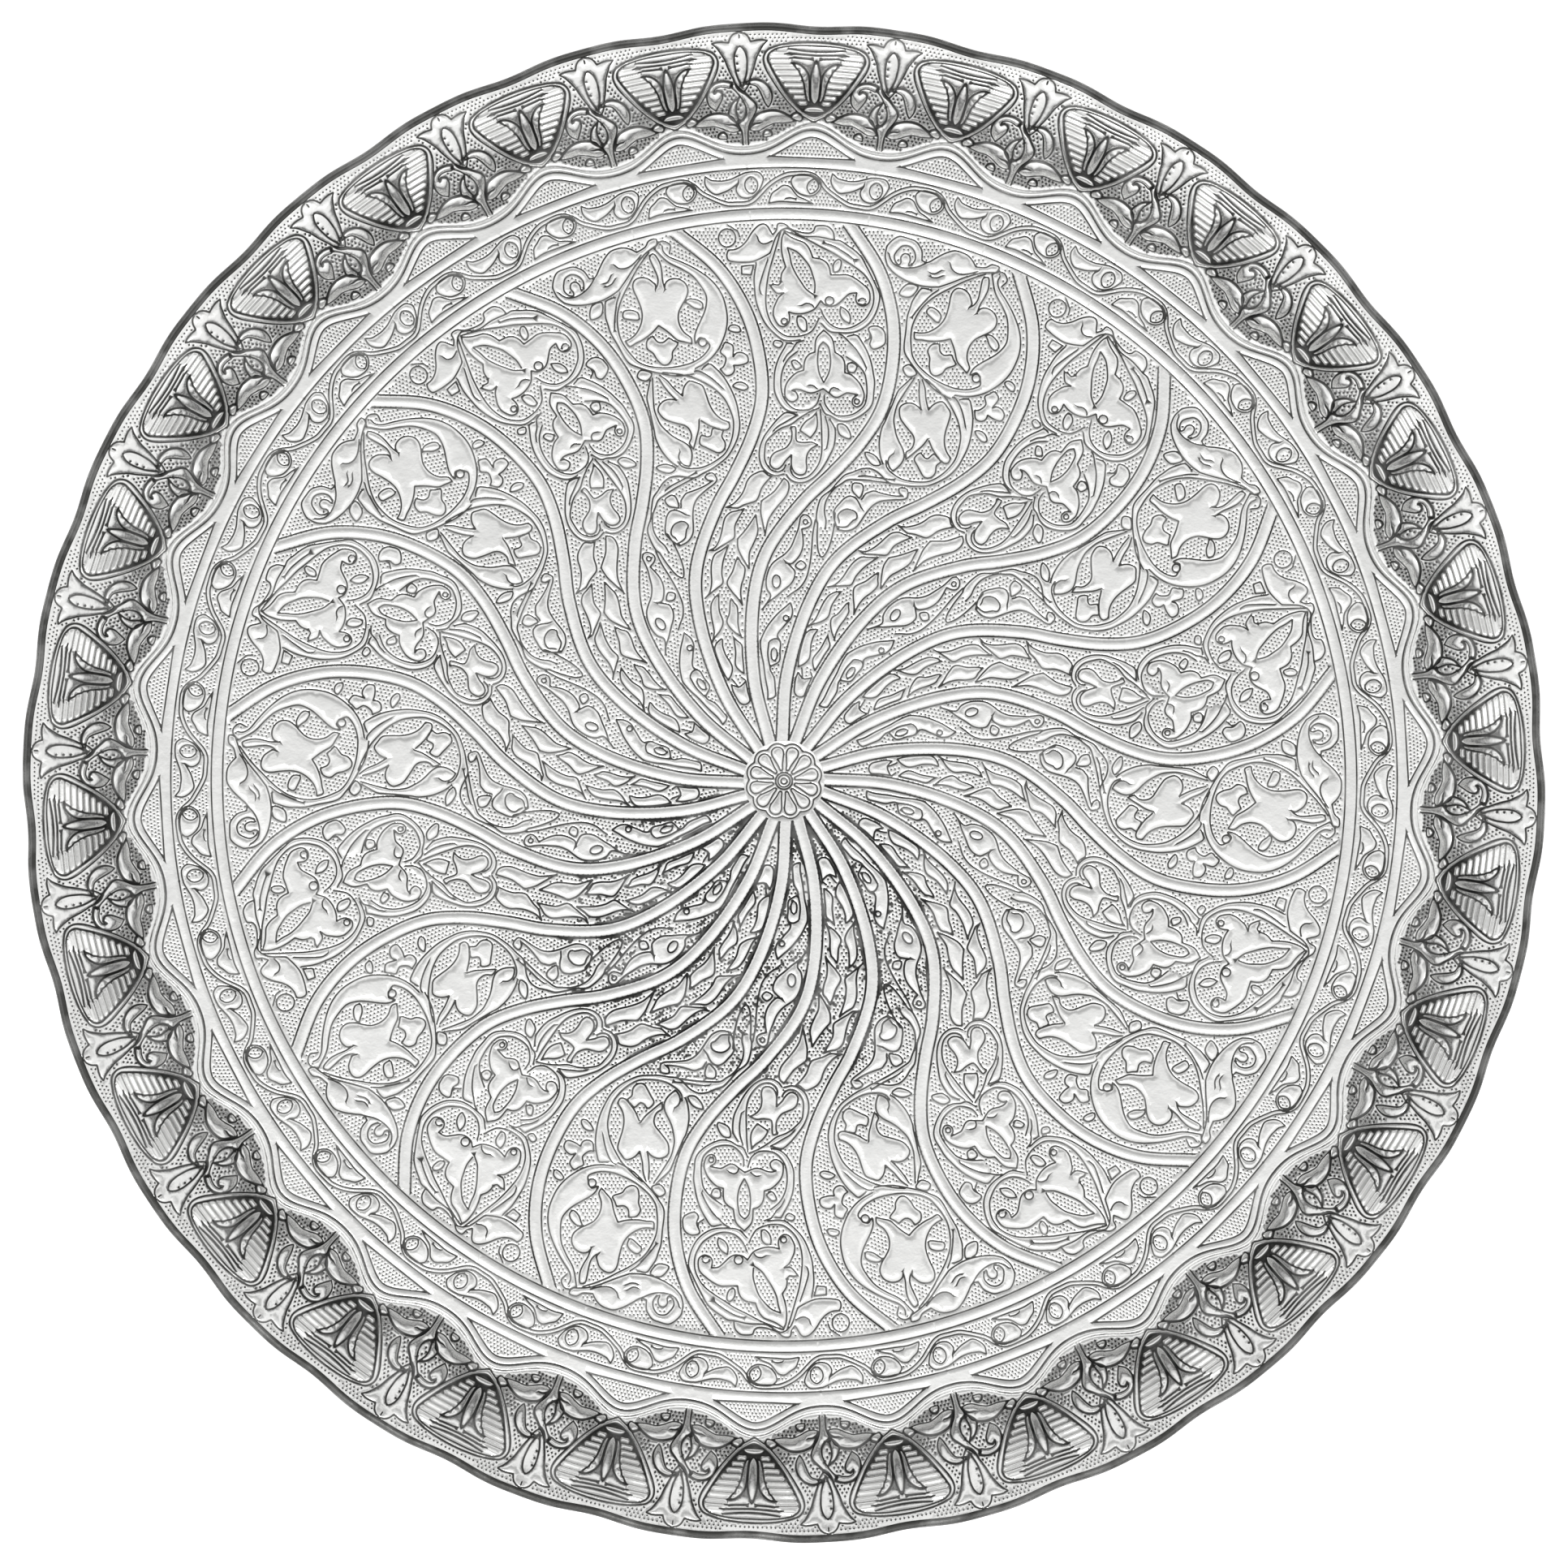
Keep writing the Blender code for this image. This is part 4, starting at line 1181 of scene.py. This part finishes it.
# a soft dome: dark at the horizon, bright overhead, brighter on the near side than the far one
way = sky.add("TexCoord", {}).outputs["Generated"]
axes = sky.add("SeparateXYZ", {0: way}).outputs
up = sky.mapped(axes["Z"], 0.02, 0.585, 0.03, 1.0, "SMOOTHSTEP")
sideways = sky.mapped(axes["Y"], -0.40, 0.34, 0.28, -0.52)
near_top = sky.mapped(axes["Z"], 0.66, 0.86, 0.0, 1.0, "SMOOTHSTEP")
sides = sky.maths("ADD", sky.maths("MULTIPLY", sideways, near_top), 1.0)
dome = sky.maths("MULTIPLY", up, sides)
sky.fill(world.node_tree.nodes["Background"], {
    "Color": (1.0, 1.0, 0.995, 1.0),
    "Strength": sky.maths("MULTIPLY", dome, 0.98),
})

pale = bpy.data.materials.new("pale_floor")
paint = Wiring(pale)
paint.fill(pale.node_tree.nodes["Principled BSDF"], {
    "Base Color": (0.93, 0.93, 0.93, 1.0),
    "Roughness": 0.9,
    "Emission Color": (1.0, 1.0, 1.0, 1.0),
    "Emission Strength": 0.6,
})

bpy.ops.mesh.primitive_plane_add(size=30, location=(0, 0, -0.0002))
floor = bpy.context.object
floor.name = "floor"
floor.data.materials.append(pale)

BACKDROP_RADIUS = 12.0
BACKDROP_SIDES = 64
circle = ring(0, 0, BACKDROP_RADIUS, BACKDROP_RADIUS, BACKDROP_SIDES)[:-1]
panels = [(i, (i + 1) % BACKDROP_SIDES) for i in range(BACKDROP_SIDES)]
backdrop_mesh = bpy.data.meshes.new("backdrop")
backdrop_mesh.from_pydata([(x, y, z) for z in (-0.01, BACKDROP_RADIUS) for x, y in circle], [],
                          [(i, j, j + BACKDROP_SIDES, i + BACKDROP_SIDES) for i, j in panels])
backdrop = bpy.data.objects.new("backdrop", backdrop_mesh)
bpy.context.scene.collection.objects.link(backdrop)
backdrop_mesh.materials.append(pale)
backdrop.visible_glossy = False
backdrop.visible_diffuse = False
backdrop.visible_shadow = False

LAMP_PLACE = Vector((-0.6, -1.5, 3.2))
lamp_data = bpy.data.lights.new("near_side", "AREA")
lamp_data.size = 0.8
lamp_data.energy = 8.0
lamp = bpy.data.objects.new("near_side", lamp_data)
bpy.context.scene.collection.objects.link(lamp)
lamp.location = LAMP_PLACE
lamp.rotation_euler = (-LAMP_PLACE).to_track_quat("-Z", "Y").to_euler()
lamp.visible_camera = False

TILT = math.radians(2.6)
DISTANCE = 8.0
VIEW_WIDTH = 0.61824
camera_data = bpy.data.cameras.new("camera")
camera_data.sensor_width = 36.0
camera_data.lens = 36.0 * DISTANCE / VIEW_WIDTH
camera_data.clip_end = 100.0
camera = bpy.data.objects.new("camera", camera_data)
bpy.context.scene.collection.objects.link(camera)
aim = Vector((0, 0, (HEIGHT - ROLL_RADIUS) * MM))
camera.location = aim + Vector((0, math.sin(TILT), math.cos(TILT))) * DISTANCE
camera.rotation_euler = (-TILT, 0, 0)
bpy.context.scene.camera = camera
bpy.context.scene.view_settings.view_transform = "Standard"
